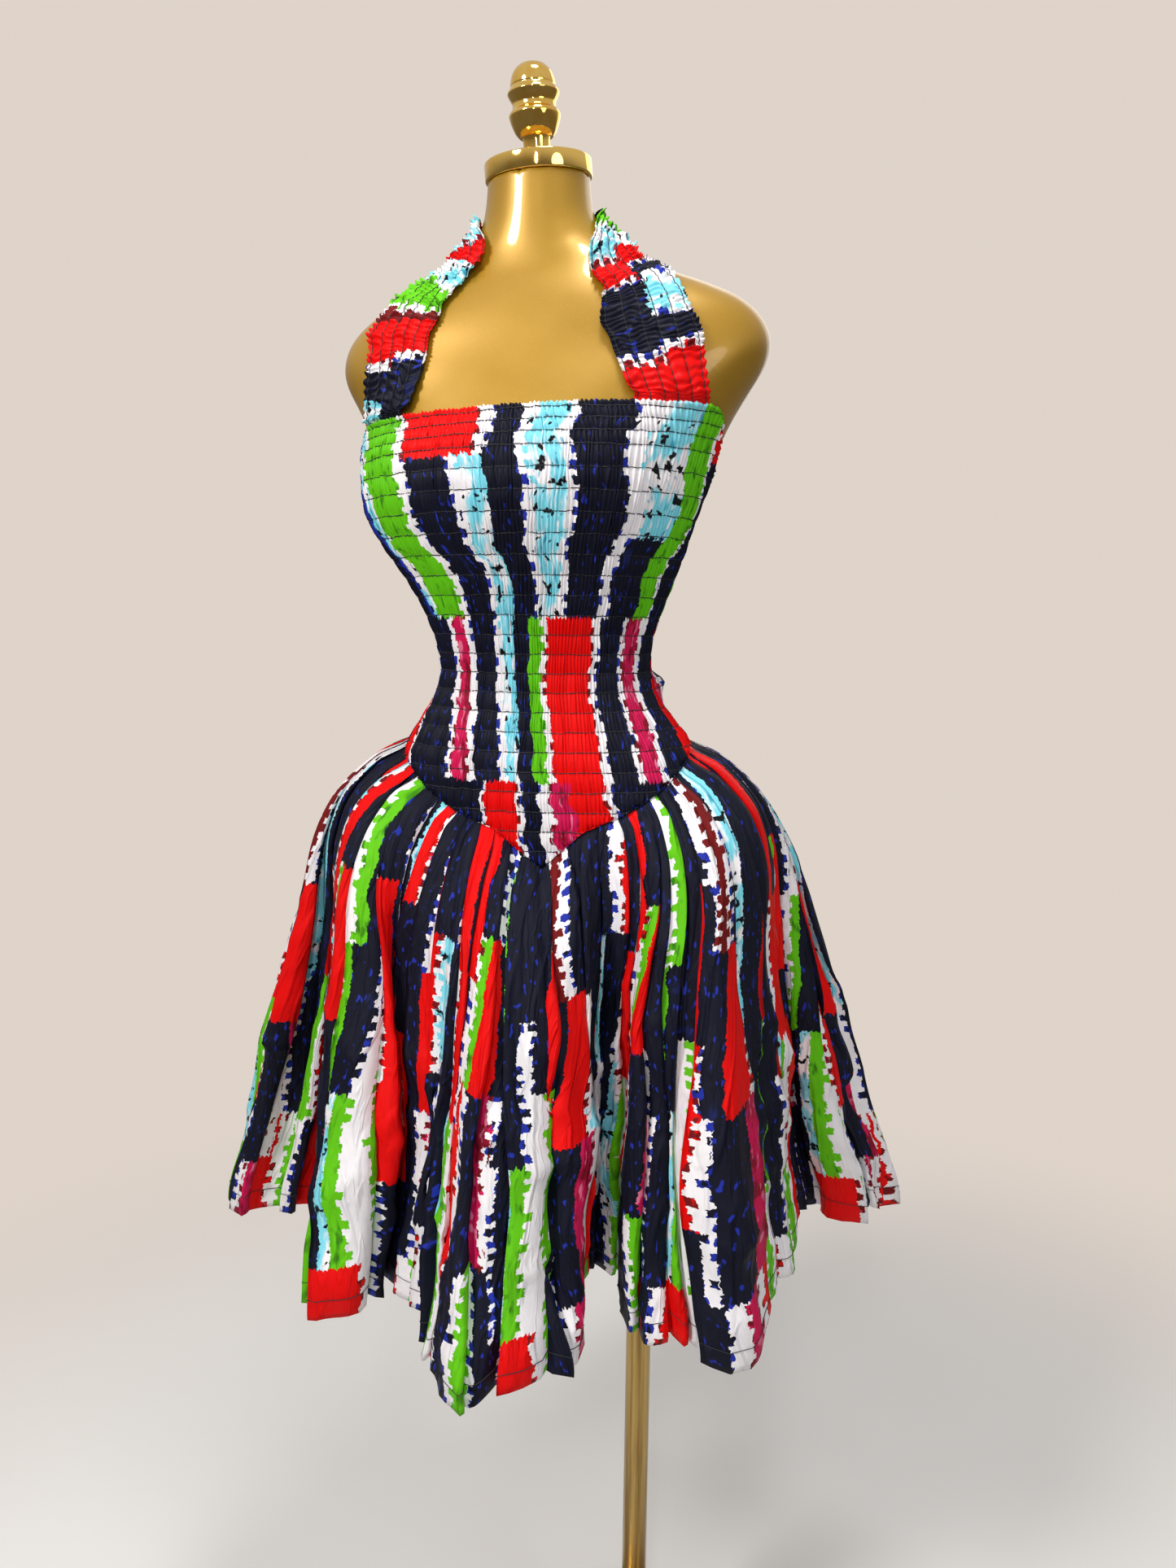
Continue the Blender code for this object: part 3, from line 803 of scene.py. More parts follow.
def bodiceRelief(number, place, angle, held, seed):  # how far each point stands off the skin, and its wave
    t = place - np.floor(place)
    isHeader = place >= len(stitchRows) - 1
    power = 0.30 + 1.05 * lattice(np.floor(number + 0.5) * 1.7, place * 0.55, seed + 3)
    wave = power * np.abs(np.sin(pi * number))
    swell = np.sin(pi * np.clip(t, 0, 1)) ** 0.8
    header = ease(t, 0.0, 0.9)
    rise = np.where(isHeader, 0.0004 + 0.0012 * header, bodice["puff"] * swell)
    folds = bodice["gather"] * np.where(isHeader, 0.7 + 0.4 * header, 0.90 + 0.10 * swell)
    nearStitch = np.exp(-((np.minimum(t, 1 - t) / 0.10) ** 2))
    dip = np.where(isHeader & (t > 0.2), 0, bodice["stitchDip"] * nearStitch)
    out = bodice["restOut"] + rise + folds * wave - dip + waver(0.0010, number * 0.16, place * 0.6, seed + 4)
    # the loose roll of cloth round the back of the waist
    turn = np.abs((angle + 180) % 360 - 180)
    bell = np.exp(-(((held - bodice["rollHeight"]) / bodice["rollSpread"]) ** 2))
    crumpled = 0.75 + 0.5 * lattice(angle * 0.12, held * 40, seed + 6)
    return out + bodice["rollReach"] * bell * ease(turn, 86, 106) * crumpled, wave


# elastic thread in its rows, cut off at the edges; it keeps every second point where a gather has four
def elasticRows(points, normal, number, place, isCloth, perGather, seed):
    runs = []
    for k in np.flatnonzero(place[:, 0] == np.floor(place[:, 0])):
        kink = waver(0.0009, number[k] * 1.3, place[k] * 3.1, seed + 7)
        kink = kink + waver(0.0012, number[k] * 0.3, place[k] * 2.3, seed + 8)
        line = points[k] + normal[k] * 0.00035
        line[:, 2] += kink
        ends = np.flatnonzero(np.diff(np.concatenate([[0], isCloth[k].astype(int), [0]])))
        for start, end in zip(ends[::2], ends[1::2]):
            if end - start > 8:
                runs.append(line[start:end:perGather // 2])
    return runs


def bodicePanel(name, node, first, seed):
    perGather = bodice["perGather"][node]
    number, place, angle, level = gatherGrid(first, perGather, seed)
    top = np.interp(angle, castAngles, topLevels)
    low = np.interp(angle, castAngles, lowLevels)
    held = np.clip(level, low, top)
    normal = gridNormals(skinPoints(angle, level))
    out, wave = bodiceRelief(number, place, angle, held, seed)
    tuck = 0.0006 * (1 - ease(held - low, 0.0, 0.003)) + 0.0012 * (1 - ease(top - held, 0.0, 0.0012))
    points = skinPoints(angle, held) + normal * (out - tuck)[..., None]
    frill = 0.0016 * (wave - 0.6) * ease(level, topLevel - 0.004, topLevel)
    points[..., 2] += np.where(held < top, frill, 0) + np.where(level >= topLevel, frill, 0)
    half = bodice["clothWidth"] / 2
    spans = np.linalg.norm(np.diff(skinPoints(angle, level), axis=1), axis=2)
    length = np.concatenate([np.zeros((len(level), 1)), np.cumsum(spans, axis=1)], axis=1)
    down = topLevel - held
    drawn, moved = (smoothColumn(bodice["cut"], k, down) for k in (1, 2))
    across = (length / length[:, -1:] - 0.5) * half / drawn + moved + (0 if first < 0 else half)
    sheet = clothSheet(name, points, np.stack([across, down], axis=-1), bodiceCotton, mergeAt=0.00002)
    thicken(sheet, 0.0006)
    settle(sheet, node)
    isCloth = (level > low + 0.001) & (level < top - 0.001)
    runs = elasticRows(points, normal, number, place, isCloth, perGather, seed)
    settle(thread(name + "Stitches", runs, bodice["thread"], blackThread))
    return sheet


bodiceFront = bodicePanel("bodiceFrontCloth", "bodice_front", -90, 11)
bodiceBack = bodicePanel("bodiceBackCloth", "bodice_back", 90, 23)
print("bodice shirred")

# the gathered skirt
# its hem seen from above goes by degrees from the front, to the viewer's right, and distance

skirt = {
    "middle": -0.090,
    "seamMiddle": -0.094,
    "seamRing": (0.150, 0.096, 0.104),  # to the sides, to the front, to the back
    "hemLevel": 0.560,
    "dip": 0.014,
    "softHem": 0.0045,
    "clothWidth": 2.60,
    "clothLength": 0.50,
    "seed": 7,
    "pleats": 33,
    "faceColumns": 10,
    "slotColumns": 5,
    "rows": 84,
    "reach": (  # drop, side, front, back, fold
        (0.00, 0.000, 0.000, 0.000, 0.00),
        (0.04, 0.036, 0.014, 0.032, 0.06),
        (0.12, 0.078, 0.038, 0.064, 0.16),
        (0.22, 0.103, 0.062, 0.088, 0.28),
        (0.36, 0.121, 0.087, 0.112, 0.46),
        (0.52, 0.144, 0.111, 0.134, 0.63),
        (0.68, 0.165, 0.133, 0.151, 0.78),
        (0.84, 0.186, 0.154, 0.166, 0.90),
        (1.00, 0.209, 0.176, 0.178, 1.00),
    ),
    "frontHem": (
        (-90, 0.359), (-80, 0.317), (-86, 0.287), (-82, 0.244), (-68, 0.218), (-52, 0.238), (-44, 0.262),
        (-37, 0.234), (-56, 0.200), (-50, 0.186), (-27, 0.198), (-19, 0.199), (-16, 0.243), (-7, 0.280),
        (-3, 0.289), (1, 0.264), (6, 0.256), (5, 0.225), (10, 0.239), (13, 0.236), (20, 0.130), (33, 0.102),
        (36, 0.137), (29, 0.202), (31, 0.221), (37, 0.218), (39, 0.246), (43, 0.276), (67, 0.230),
        (71, 0.243), (80, 0.236), (99, 0.243), (104, 0.281), (98, 0.287), (99, 0.323), (106, 0.334),
        (106, 0.364),
    ),
    "backHem": (
        (112, 0.300), (119, 0.236), (126, 0.262), (132, 0.304), (138, 0.290), (134, 0.240), (144, 0.214),
        (151, 0.262), (157, 0.288), (163, 0.270), (160, 0.222), (170, 0.192), (177, 0.240), (183, 0.296),
        (188, 0.280), (193, 0.210), (199, 0.206), (205, 0.262), (210, 0.274), (216, 0.255), (213, 0.214),
        (222, 0.202), (229, 0.255), (236, 0.308), (242, 0.290), (247, 0.244), (252, 0.262), (259, 0.300),
        (264, 0.325),
    ),
    "pleatForm": (  # drop, lift of the raised edge, how far it laps, depth of the slot behind it, bulge
        (0.00, 0.0004, 0.0006, 0.0003, 0.0002),
        (0.04, 0.0060, 0.0045, 0.0020, 0.0008),
        (0.14, 0.0120, 0.0100, 0.0080, 0.0010),
        (0.35, 0.0180, 0.0140, 0.0150, 0.0010),
        (0.65, 0.0180, 0.0140, 0.0160, 0.0010),
        (1.00, 0.0130, 0.0100, 0.0120, 0.0010),
    ),
    "slot": (  # on the way through a slot: lap, lift, depth
        (1.00, 1.00, 0.0),
        (1.15, 0.72, 0.0),
        (0.60, 0.25, 0.0),
        (-0.40, -0.20, 0.4),
        (-0.80, 0.00, 1.0),
        (-0.40, 0.00, 0.7),
        (0.00, 0.00, 0.0),
    ),
    "hemRun": 1.45,  # the panel's run that its creases are spread over
    "creases": (  # across, its slant, down, its slant, sharpness, height
        (17, 9, 10, -5, 2, 0.0070),
        (23, -13, 13, 4, 3, 0.0060),
        (44, 0, 4, 0, 2, 0.0040),
    ),
    "centred": 0.85,  # how much of the folds' mean height is taken back, so they stand to both sides
}


def hemTables():  # the hem's line, evenly spaced along its length, and its smoothed angle round the body
    spots = [*skirt["frontHem"], *skirt["backHem"], (270, skirt["frontHem"][0][1])]
    turn, out = np.radians([spot[0] for spot in spots]), np.array([spot[1] for spot in spots])
    line = np.stack([np.sin(turn) * out, -np.cos(turn) * out], axis=-1)
    length = np.concatenate([[0], np.cumsum(np.linalg.norm(np.diff(line, axis=0), axis=1))])
    even = np.linspace(0, length[-1], 3600, endpoint=False)
    line = np.stack([np.interp(even, length, line[:, k]) for k in (0, 1)], axis=-1)
    line = ringSoft(line, skirt["softHem"] / (length[-1] / 3600))
    angle = np.degrees(np.unwrap(np.arctan2(line[:, 0], -line[:, 1])))
    angle = angle - 360 * round((angle[0] + 90) / 360)
    ramp = np.linspace(0, 360, 3600, endpoint=False)
    smooth = ringSoft((angle - ramp)[:, None], 3600 * 0.075)[:, 0] + ramp
    smooth = np.maximum.accumulate(smooth) + ramp * 1e-6
    share = np.arange(-3600, 7200) / 3600
    return share, np.tile(line, (3, 1)), np.concatenate([smooth - 360, smooth, smooth + 360])


hemShare, hemLine, hemAngle = hemTables()
hemOut = np.linalg.norm(hemLine, axis=1)
hemBulk = np.tile(ringSoft(hemOut[:3600, None], 3600 * 0.02)[:, 0], 3)
sideShares = [float(np.interp(angle, hemAngle, hemShare)) for angle in (-90, 90, 270)]


def seamRing(degrees):  # the basque seam, a little outside the bodice's lower edge
    line = skinPoints(castAngles, lowLevels)
    wide, front, back = skirt["seamRing"]
    depth = np.where(line[:, 1] < 0, front, back)
    turn = np.degrees(np.arctan2((line[:, 0] - skirt["seamMiddle"]) / wide, -line[:, 1] / depth))
    turn = np.unwrap(turn, period=360)
    turn = -90 + (turn - turn[0]) * 360 / (turn[-1] - turn[0])
    return np.stack([np.interp(degrees, turn, line[:, k]) for k in range(3)], axis=-1)


def skirtSurface(share, drop):  # the skirt's middle surface at shares of the hem's length and of its drop
    turn = np.interp(share, hemShare, hemAngle)
    seam = np.clip(turn, -90, 270)
    way = np.stack([np.sin(np.radians(turn)), -np.cos(np.radians(turn)), 0 * turn], axis=-1)
    start = seamRing(seam) + way * 0.0012
    start[..., 2] += 0.0030
    s2, c2 = way[..., 0] ** 2, way[..., 1] ** 2
    isFront = way[..., 1] < 0
    side, front, back, fold = (smoothColumn(skirt["reach"], k, drop) for k in (1, 2, 3, 4))
    full = side * s2 + np.where(isFront, front, back) * c2
    last = skirt["reach"][-1]
    hemFull = last[1] * s2 + np.where(isFront, last[2], last[3]) * c2
    hem = np.stack([np.interp(share, hemShare, hemLine[:, k]) for k in (0, 1)], axis=-1)
    hemAway = hem - (start + way * hemFull[..., None])[..., :2]
    hemAway[..., 0] += skirt["middle"]
    points = start + way * full[..., None]
    points[..., :2] += hemAway * fold[..., None]
    bulk = np.interp(share, hemShare, hemOut) - np.interp(share, hemShare, hemBulk)
    hemLevel = skirt["hemLevel"] - skirt["dip"] * np.clip(bulk / 0.04, -0.4, 1)
    points[..., 2] = start[..., 2] + (hemLevel - start[..., 2]) * drop
    return points


def crumple(run, down):  # creases and narrow falls in the crisp cloth, strongest in the lower half
    body = (0.25 + 0.75 * ease(down, 0.10, 0.30)) * ease(down, 0.0, 0.05)
    lift = 0.0
    for k, (wide, slant, tall, turn, sharp, height) in enumerate(skirt["creases"]):
        lift = lift + height * crease(run * wide + down * slant, down * tall + run * turn, 31 + k) ** sharp
    lift = lift * (0.2 + 0.9 * lattice(run * 7, down * 6, 34))
    drift = run + waver(0.03, run * 6, down * 5, 36)
    ridge = 0.0080 * crease(drift * 17, down * 1.6, 37)
    ridge = ridge + 0.0050 * (crease(drift * 41, down * 2.4, 38) - 0.5)
    return lift * body + ridge * ease(down, 0.08, 0.26)


def pleatPlan(seed):  # the pleats' bounds as shares of the panel, their strength, and which way they lap
    rng = np.random.default_rng(seed)
    pleats = skirt["pleats"]
    widths = 0.55 + 0.9 * rng.random(pleats)
    bounds = np.concatenate([[0], np.cumsum(widths / widths.sum())])
    widths = np.diff(bounds)
    strength = 0.45 + 0.45 * rng.random(pleats) + 0.5 * widths / widths.max()
    isRight = rng.random(pleats) < 0.62
    opens = rng.random(pleats) < 0.15
    return bounds, widths, strength, isRight, opens


def pleatColumns():  # each pleat's face, then the slot that tucks behind the next one
    pleats, faces, slots = skirt["pleats"], skirt["faceColumns"], skirt["slotColumns"]
    pleat, within, slot = [], [], []
    for k in range(pleats):
        hasSlot = k < pleats - 1
        count = faces if hasSlot else faces + 1
        pleat += [k] * (count + slots if hasSlot else count)
        within += [j / faces for j in range(count)] + [1.0] * (slots if hasSlot else 0)
        slot += [0.0] * count + [j / slots for j in range(slots if hasSlot else 0)]
    pleat, within, slot = np.array(pleat), np.array(within), np.array(slot)
    isSlot = within == 1.0
    isSlot[-1] = False
    return pleat, within, slot, isSlot


def skirtPanel(name, node, firstShare, lastShare, clothStart, seed):
    bounds, widths, strength, isRight, opens = pleatPlan(seed)
    pleat, within, slot, isSlot = pleatColumns()
    pleats, faces = skirt["pleats"], skirt["faceColumns"]
    drops = np.linspace(0, 1, skirt["rows"] + 1) ** 1.12
    rows, columns = len(drops), len(pleat)
    drop = np.broadcast_to(drops[:, None], (rows, columns))
    # the pleats' edges wander as they fall
    edge = np.arange(1, pleats)
    sway = lattice(edge[None, :] * 3.7, drops[:, None] * 3.0, seed + 1) - 0.5
    lines = np.tile(bounds, (rows, 1))
    lines[:, 1:-1] += sway * np.minimum(widths[:-1], widths[1:]) * 0.8 * ease(drops, 0.0, 0.3)[:, None]
    at = lines[:, pleat] + (lines[:, pleat + 1] - lines[:, pleat]) * within
    share = firstShare + (lastShare - firstShare) * at
    points = skirtSurface(share, drop)
    ahead = skirtSurface(share + 0.0004, drop) - skirtSurface(share - 0.0004, drop)
    ahead[..., 2] = 0
    ahead /= np.maximum(np.linalg.norm(ahead, axis=2, keepdims=True), 1e-9)
    out = np.stack([ahead[..., 1], -ahead[..., 0], 0 * drop], axis=-1)
    spans = np.linalg.norm(np.diff(points, axis=1)[..., :2], axis=2)
    spans = np.concatenate([spans, np.zeros((rows, 1))], axis=1)
    starts = np.searchsorted(pleat, np.arange(pleats))
    arcs = np.add.reduceat(spans, starts, axis=1)
    closed = 1 - np.where(opens, 0.9 * ease(drops, 0.45, 0.85)[:, None], 0.0)
    lift, lap, depth, bulge = (smoothColumn(skirt["pleatForm"], k, drop) for k in (1, 2, 3, 4))
    rough = 0.75 + 0.5 * lattice(pleat[None, :] * 5.3, drop * 5.0, seed + 2)
    power = (strength * closed)[:, pleat] * rough
    lift, lap, depth = lift * power, lap * power, depth * power
    arc = arcs[:, pleat]
    lift, lap = np.minimum(lift, arc * 0.45), np.minimum(lap, arc * 0.35)
    # a face rises to its raised edge: to the right of it, or to the left where the next pleat laps back
    before = np.maximum(pleat - 1, 0)
    leftUp = np.where((pleat > 0) & ~isRight[before], 1.0, 0.0)
    rightUp = np.where((pleat < pleats - 1) & isRight[pleat], 1.0, 0.0)
    raised = leftUp * (1 - within) ** 1.1 + rightUp * within ** 1.1
    shift = rightUp * within ** 3 - leftUp * (1 - within) ** 3
    # a slot goes back under its raised edge, to the right or to the left
    goesRight = isRight[pleat]
    way = np.where(goesRight, slot, 1 - slot)
    stops = np.linspace(0, 1, len(skirt["slot"]))
    slotLap, slotLift, slotDeep = (np.interp(way, stops, column) for column in zip(*skirt["slot"]))
    height = np.where(isSlot, slotLift, raised) * lift
    height = height - np.where(isSlot, slotDeep, 0) * depth
    height = height + np.where(isSlot, 0, np.sin(pi * within)) * np.minimum(bulge * rough, arc * 0.25)
    gathers = np.abs(np.sin(pi * within * np.where(widths > 0.04, 3, 2)[pleat]))
    nearSeam = 0.0022 * ease(drop, 0.01, 0.03) * (1 - ease(drop, 0.05, 0.30))
    height = height + np.where(isSlot, 0, gathers) * nearSeam
    along = np.where(isSlot, np.where(goesRight, slotLap, -slotLap), shift) * lap
    down = drop * skirt["clothLength"]
    border = ease(np.minimum(at, 1 - at), 0.0, 0.012)
    height = height + crumple(clothStart * 3 + at * skirt["hemRun"], down) * border
    height = height - skirt["centred"] * height.mean(axis=1, keepdims=True) * border
    points = points + out * height[..., None] + ahead * along[..., None]
    # the print keeps its size on every face, and what is left of each pleat's cloth runs through its slot
    steps = np.linalg.norm(np.diff(points, axis=1), axis=2)
    length = np.concatenate([np.zeros((rows, 1)), np.cumsum(steps, axis=1)], axis=1)
    face = length[:, starts + faces] - length[:, starts]
    soft = np.ones(13) / 13
    face = np.stack(
        [np.convolve(np.pad(line, 6, mode="edge"), soft, mode="valid") for line in face.T], axis=1
    )
    part = np.clip(face / (widths * skirt["clothWidth"]), 0.14, 0.97)[:, pleat]
    whole = (length[:, starts + faces] - length[:, starts])[:, pleat]
    onFace = (length - length[:, starts][:, pleat]) / whole
    used = np.where(isSlot, part + (1 - part) * slot, part * np.clip(onFace, 0, 1))
    across = clothStart + skirt["clothWidth"] * (bounds[pleat] + widths[pleat] * used)
    uv = np.stack([across, down], axis=-1)
    points, uv = points[::-1], uv[::-1]
    sheet = clothSheet(name, points, uv, skirtCotton)
    thicken(sheet, 0.0007)
    settle(sheet, node)
    hemRow = 3
    line = points[hemRow] + gridNormals(points)[hemRow] * 0.0003
    settle(thread(name + "HemStitch", [line], 0.00035, blackThread))
    return sheet


half = skirt["clothWidth"] / 2
skirtFront = skirtPanel("skirtFrontCloth", "skirt_front", sideShares[0], sideShares[1], -half, skirt["seed"])
skirtBack = skirtPanel("skirtBackCloth", "skirt_back", sideShares[1], sideShares[2], half, skirt["seed"] + 40)
print("skirt gathered")

# the halter straps, laid on the form along their paths

straps = {
    "stations": 340,
    "lanes": 60,
    "rows": 5,
    "rest": 0.0022,
    "rib": 0.0048,
    "ribHeight": 0.0026,
    "clothWidth": 0.075,
    "fullness": 1.4,
    "paths": {  # across, back, height, width
        "strap_left": (
            (0.017, -0.073, 1.350, 0.074), (0.010, -0.078, 1.376, 0.075), (0.003, -0.076, 1.400, 0.077),
            (-0.005, -0.068, 1.425, 0.075), (-0.014, -0.060, 1.450, 0.066), (-0.032, -0.050, 1.474, 0.046),
            (-0.043, -0.030, 1.492, 0.036), (-0.052, -0.004, 1.512, 0.031), (-0.076, 0.036, 1.519, 0.032),
            (-0.111, 0.050, 1.516, 0.034),
        ),
        "strap_right": (
            (-0.238, -0.064, 1.338, 0.058), (-0.226, -0.068, 1.372, 0.062), (-0.221, -0.060, 1.410, 0.063),
            (-0.208, -0.046, 1.440, 0.062), (-0.184, -0.042, 1.462, 0.052), (-0.168, -0.036, 1.480, 0.042),
            (-0.162, -0.018, 1.494, 0.035), (-0.158, 0.006, 1.504, 0.031), (-0.146, 0.036, 1.511, 0.032),
            (-0.111, 0.050, 1.516, 0.034),
        ),
    },
    "feet": {"strap_left": (44.5, 70.0), "strap_right": (-53.0, -70.7)},
    "printStart": {"strap_left": 0.0, "strap_right": 0.350},
}


def strapBase(node, side):  # where each strand of the strap lies on the form, and which way is out
    stations, lanes = straps["stations"], straps["lanes"]
    path = straps["paths"][node]
    rows = [(k / (len(path) - 1), *row) for k, row in enumerate(path)]
    shares = np.linspace(0, 1, stations + 1)
    middle = np.stack([smoothColumn(rows, k, shares) for k in (1, 2, 3)], axis=-1)
    width = smoothColumn(rows, 4, shares)
    along = np.gradient(middle, axis=0)
    along /= np.linalg.norm(along, axis=1, keepdims=True)
    base = np.zeros((stations + 1, lanes + 1, 3))
    normal = np.zeros_like(base)
    footTurn = np.linspace(*straps["feet"][node], lanes + 1)
    sewn = skinPoints(footTurn, np.interp(footTurn, castAngles, topLevels) - 0.002)
    climb = 0.13 / stations
    for k in range(stations + 1):
        foot, up, _, _ = formTree.find_nearest(Vector(middle[k]))
        across = Vector(along[k]).cross(up).normalized() * side
        settled = float(ease(k / stations, 0.0, 0.14))
        for i in range(lanes + 1):
            offset = (i / lanes - 0.5) * width[k]
            spot, face, _, _ = formTree.find_nearest(foot + across * offset)
            place = Vector(sewn[i]).lerp(spot, settled)
            place.z = max(place.z, sewn[i][2] + min(k, stations // 8) * climb)
            base[k, i] = place
            normal[k, i] = (face + up * 0.5).normalized()
    length = np.concatenate([[0], np.cumsum(np.linalg.norm(np.diff(middle, axis=0), axis=1))])
    return base, normal, width, length


def makeStrap(name, node, side, seed):
    stations, lanes = straps["stations"], straps["lanes"]
    base, normal, width, length = strapBase(node, side)
    lane = np.broadcast_to(np.linspace(0, 1, lanes + 1), base.shape[:2])
    run = np.broadcast_to(length[:, None], base.shape[:2])
    narrow = np.broadcast_to((0.07 / width)[:, None], base.shape[:2]) ** 0.6
    # ribs run across between the lengthwise elastic rows, slant and wander, and end in a frill
    place = lane * (straps["rows"] + 0.6) - 0.3
    t = place - np.floor(place)
    swell = np.sin(pi * t) ** 0.8
    slant = waver(1.6, run * 14, place * 0.3, seed) * (lane - 0.5) * 4
    wander = waver(1.9, run * 55, place * 0.9, seed + 1) + waver(0.7, run * 150, place * 2.1, seed + 2)
    number = run / straps["rib"] + slant + wander
    wave = np.abs(np.sin(pi * number))
    power = 0.35 + 1.0 * lattice(number * 0.8, place * 1.1, seed + 3)
    crumpled = crease(run * 60, lane * 4 + run * 20, seed + 4) ** 2
    grown = 0.35 + 0.65 * ease(run, 0.0, 0.012)
    out = 0.0010 * swell + straps["ribHeight"] * wave * power * (0.55 + 0.45 * swell) + 0.0030 * crumpled
    edge = np.abs(2 * lane - 1)
    frill = ease(edge, 0.84, 1.0)
    out = out + 0.0014 * frill * (wave * power - 0.2)
    sway = np.gradient(base, axis=1)
    sway /= np.maximum(np.linalg.norm(sway, axis=2, keepdims=True), 1e-12)
    flare = 0.0010 * ease(edge, 0.70, 1.0) * (wave * power - 0.45) * np.where(lane < 0.5, -1.0, 1.0)
    flare = flare + waver(0.0080, run * 52, lane * 2, seed + 5) * edge
    lifted = normal * (straps["rest"] + out * narrow * grown)[..., None]
    points = base + lifted + sway * (flare * grown)[..., None]
    points[-1, :, 0] = straps["paths"][node][-1][0] + side * 0.00015
    uv = np.stack([straps["printStart"][node] + run * 1.05, lane * straps["clothWidth"]], axis=-1)
    if side < 0:
        points, uv, normal = points[:, ::-1], uv[:, ::-1], normal[:, ::-1]
    sheet = clothSheet(name, points, uv, strapCotton)
    thicken(sheet, 0.0006)
    settle(sheet, node)
    runs = []
    for row in range(straps["rows"] + 1):
        share = (row + 0.3) / (straps["rows"] + 0.6)
        at = int(round((share if side > 0 else 1 - share) * lanes))
        runs.append((points[:, at] + normal[:, at] * 0.0004)[2:-1])
    settle(thread(name + "Stitches", runs, 0.00040, blackThread))
    return sheet, float(length[-1])


strapLeft = makeStrap("strapLeftCloth", "strap_left", 1, 41)
strapRight = makeStrap("strapRightCloth", "strap_right", -1, 57)
print("straps laid")

# turned metal fittings, with their sizes read from the frame where they stand upright

fittings = {
    "steps": 96,
    "sharp": radians(35),
    "neckPlace": (-0.111, 0.0, 1.557),
    "neckLean": (radians(-3.5), radians(6)),
    "gap": 0.0003,
    "capRadius": 0.0488,
    "capThickness": 0.016,
    "finialHeight": 0.0812,
    "finial": (  # radius, height above the cap
        (0.0150, 0.0000), (0.0150, 0.0015), (0.0125, 0.0030), (0.0123, 0.0185), (0.0150, 0.0200),
        (0.0185, 0.0240), (0.0212, 0.0300), (0.0228, 0.0350), (0.0231, 0.0385), (0.0203, 0.0425),
        (0.0196, 0.0450), (0.0197, 0.0480), (0.0228, 0.0540), (0.0231, 0.0565), (0.0204, 0.0605),
        (0.0203, 0.0625), (0.0196, 0.0665), (0.0176, 0.0720), (0.0143, 0.0762), (0.0098, 0.0792),
    ),
    "rounding": {
        "neck_cap": 0.0015, "base_plate": 0.003, "pole_socket": 0.002, "pole_foot": 0.002, "pole": 0.0008,
    },
}


def turnedPiece(name, node, outline, material, place=None, rounding=0.0):
    bm = bmesh.new()
    rim = [bm.verts.new((radius, 0, height)) for radius, height in outline]
    for one, other in zip(rim, rim[1:]):
        bm.edges.new((one, other))
    bmesh.ops.spin(
        bm, geom=bm.verts[:] + bm.edges[:], cent=(0, 0, 0), axis=(0, 0, 1), angle=2 * pi,
        steps=fittings["steps"], use_merge=True,
    )
    bmesh.ops.remove_doubles(bm, verts=bm.verts, dist=0.000005)
    bmesh.ops.recalc_face_normals(bm, faces=bm.faces)
    if rounding:
        rings = [
            edge
            for edge in bm.edges
            if edge.is_manifold and edge.calc_face_angle() > fittings["sharp"]
        ]
        bmesh.ops.bevel(
            bm, geom=rings, offset=rounding, offset_type="OFFSET", affect="EDGES", segments=3, profile=0.5,
            material=-1,
        )
    if place is not None:
        bm.transform(place)
    mesh = bpy.data.meshes.new(name)
    bm.to_mesh(mesh)
    bm.free()
    mesh.shade_smooth()
    mesh.set_sharp_from_angle(angle=fittings["sharp"])
    piece = addPiece(name, mesh, material)
    return settle(piece, node)


def uprightFitting(name, node, material, bore=0.0):  # a disc or ring that fills its node's box
    low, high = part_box(node)
    radius = (high[0] - low[0]) / 2
    tall = high[2] - low[2]
    if bore:
        outline = [(bore, 0), (radius, 0), (radius, tall), (bore, tall), (bore, 0)]
    else:
        outline = [(0, 0), (radius, 0), (radius, tall), (0, tall)]
    place = Matrix.Translation(((low[0] + high[0]) / 2, (low[1] + high[1]) / 2, low[2]))
    return turnedPiece(name, node, outline, material, place, fittings["rounding"][node])


# a curve's place between b and c, with a and d beyond them
def between(a, b, c, d, t):
    bend = t * t * (a - 2.5 * b + 2 * c - d / 2)
    return b + t * (c - a) / 2 + bend + t**3 * (1.5 * (b - c) + (d - a) / 2)


def smoothOutline(outline):  # a turned outline with points filled in on a smooth curve
    filled = []
    for four in zip([outline[0], *outline], outline, outline[1:], [*outline[2:], outline[-1]]):
        for t in (0.0, 0.25, 0.5, 0.75):
            filled.append(tuple(between(*column, t) for column in zip(*four)))
    return [*filled, outline[-1]]


def makeFittings():
    lean, nod = fittings["neckLean"]
    turn = Matrix.Rotation(lean, 4, "Y") @ Matrix.Rotation(nod, 4, "X")
    neck = Matrix.Translation(fittings["neckPlace"]) @ turn
    gap, wide, thick = fittings["gap"], fittings["capRadius"], fittings["capThickness"]
    rounding = fittings["rounding"]["neck_cap"]
    cap = [(0, gap), (wide, gap), (wide, thick), (0, thick)]
    turnedPiece("neckCap", "neck_cap", cap, polishedGold, neck, rounding)
    foot = thick + gap
    curve = [(radius, foot + height) for radius, height in fittings["finial"]]
    top = foot + fittings["finialHeight"]
    curve = [*smoothOutline([*curve, (0.0, top)])[:-1], (0.0, top)]
    turnedPiece("finialKnob", "finial", [(0, foot), *curve], polishedGold, neck)
    low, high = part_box("pole")
    bore = (high[0] - low[0]) / 2 + gap
    uprightFitting("poleSocket", "pole_socket", polishedGold, bore)
    uprightFitting("poleTube", "pole", agedBrass)
    uprightFitting("poleFoot", "pole_foot", agedBrass, bore)
    uprightFitting("basePlate", "base_plate", satinBrass)


makeFittings()
print("fittings turned")
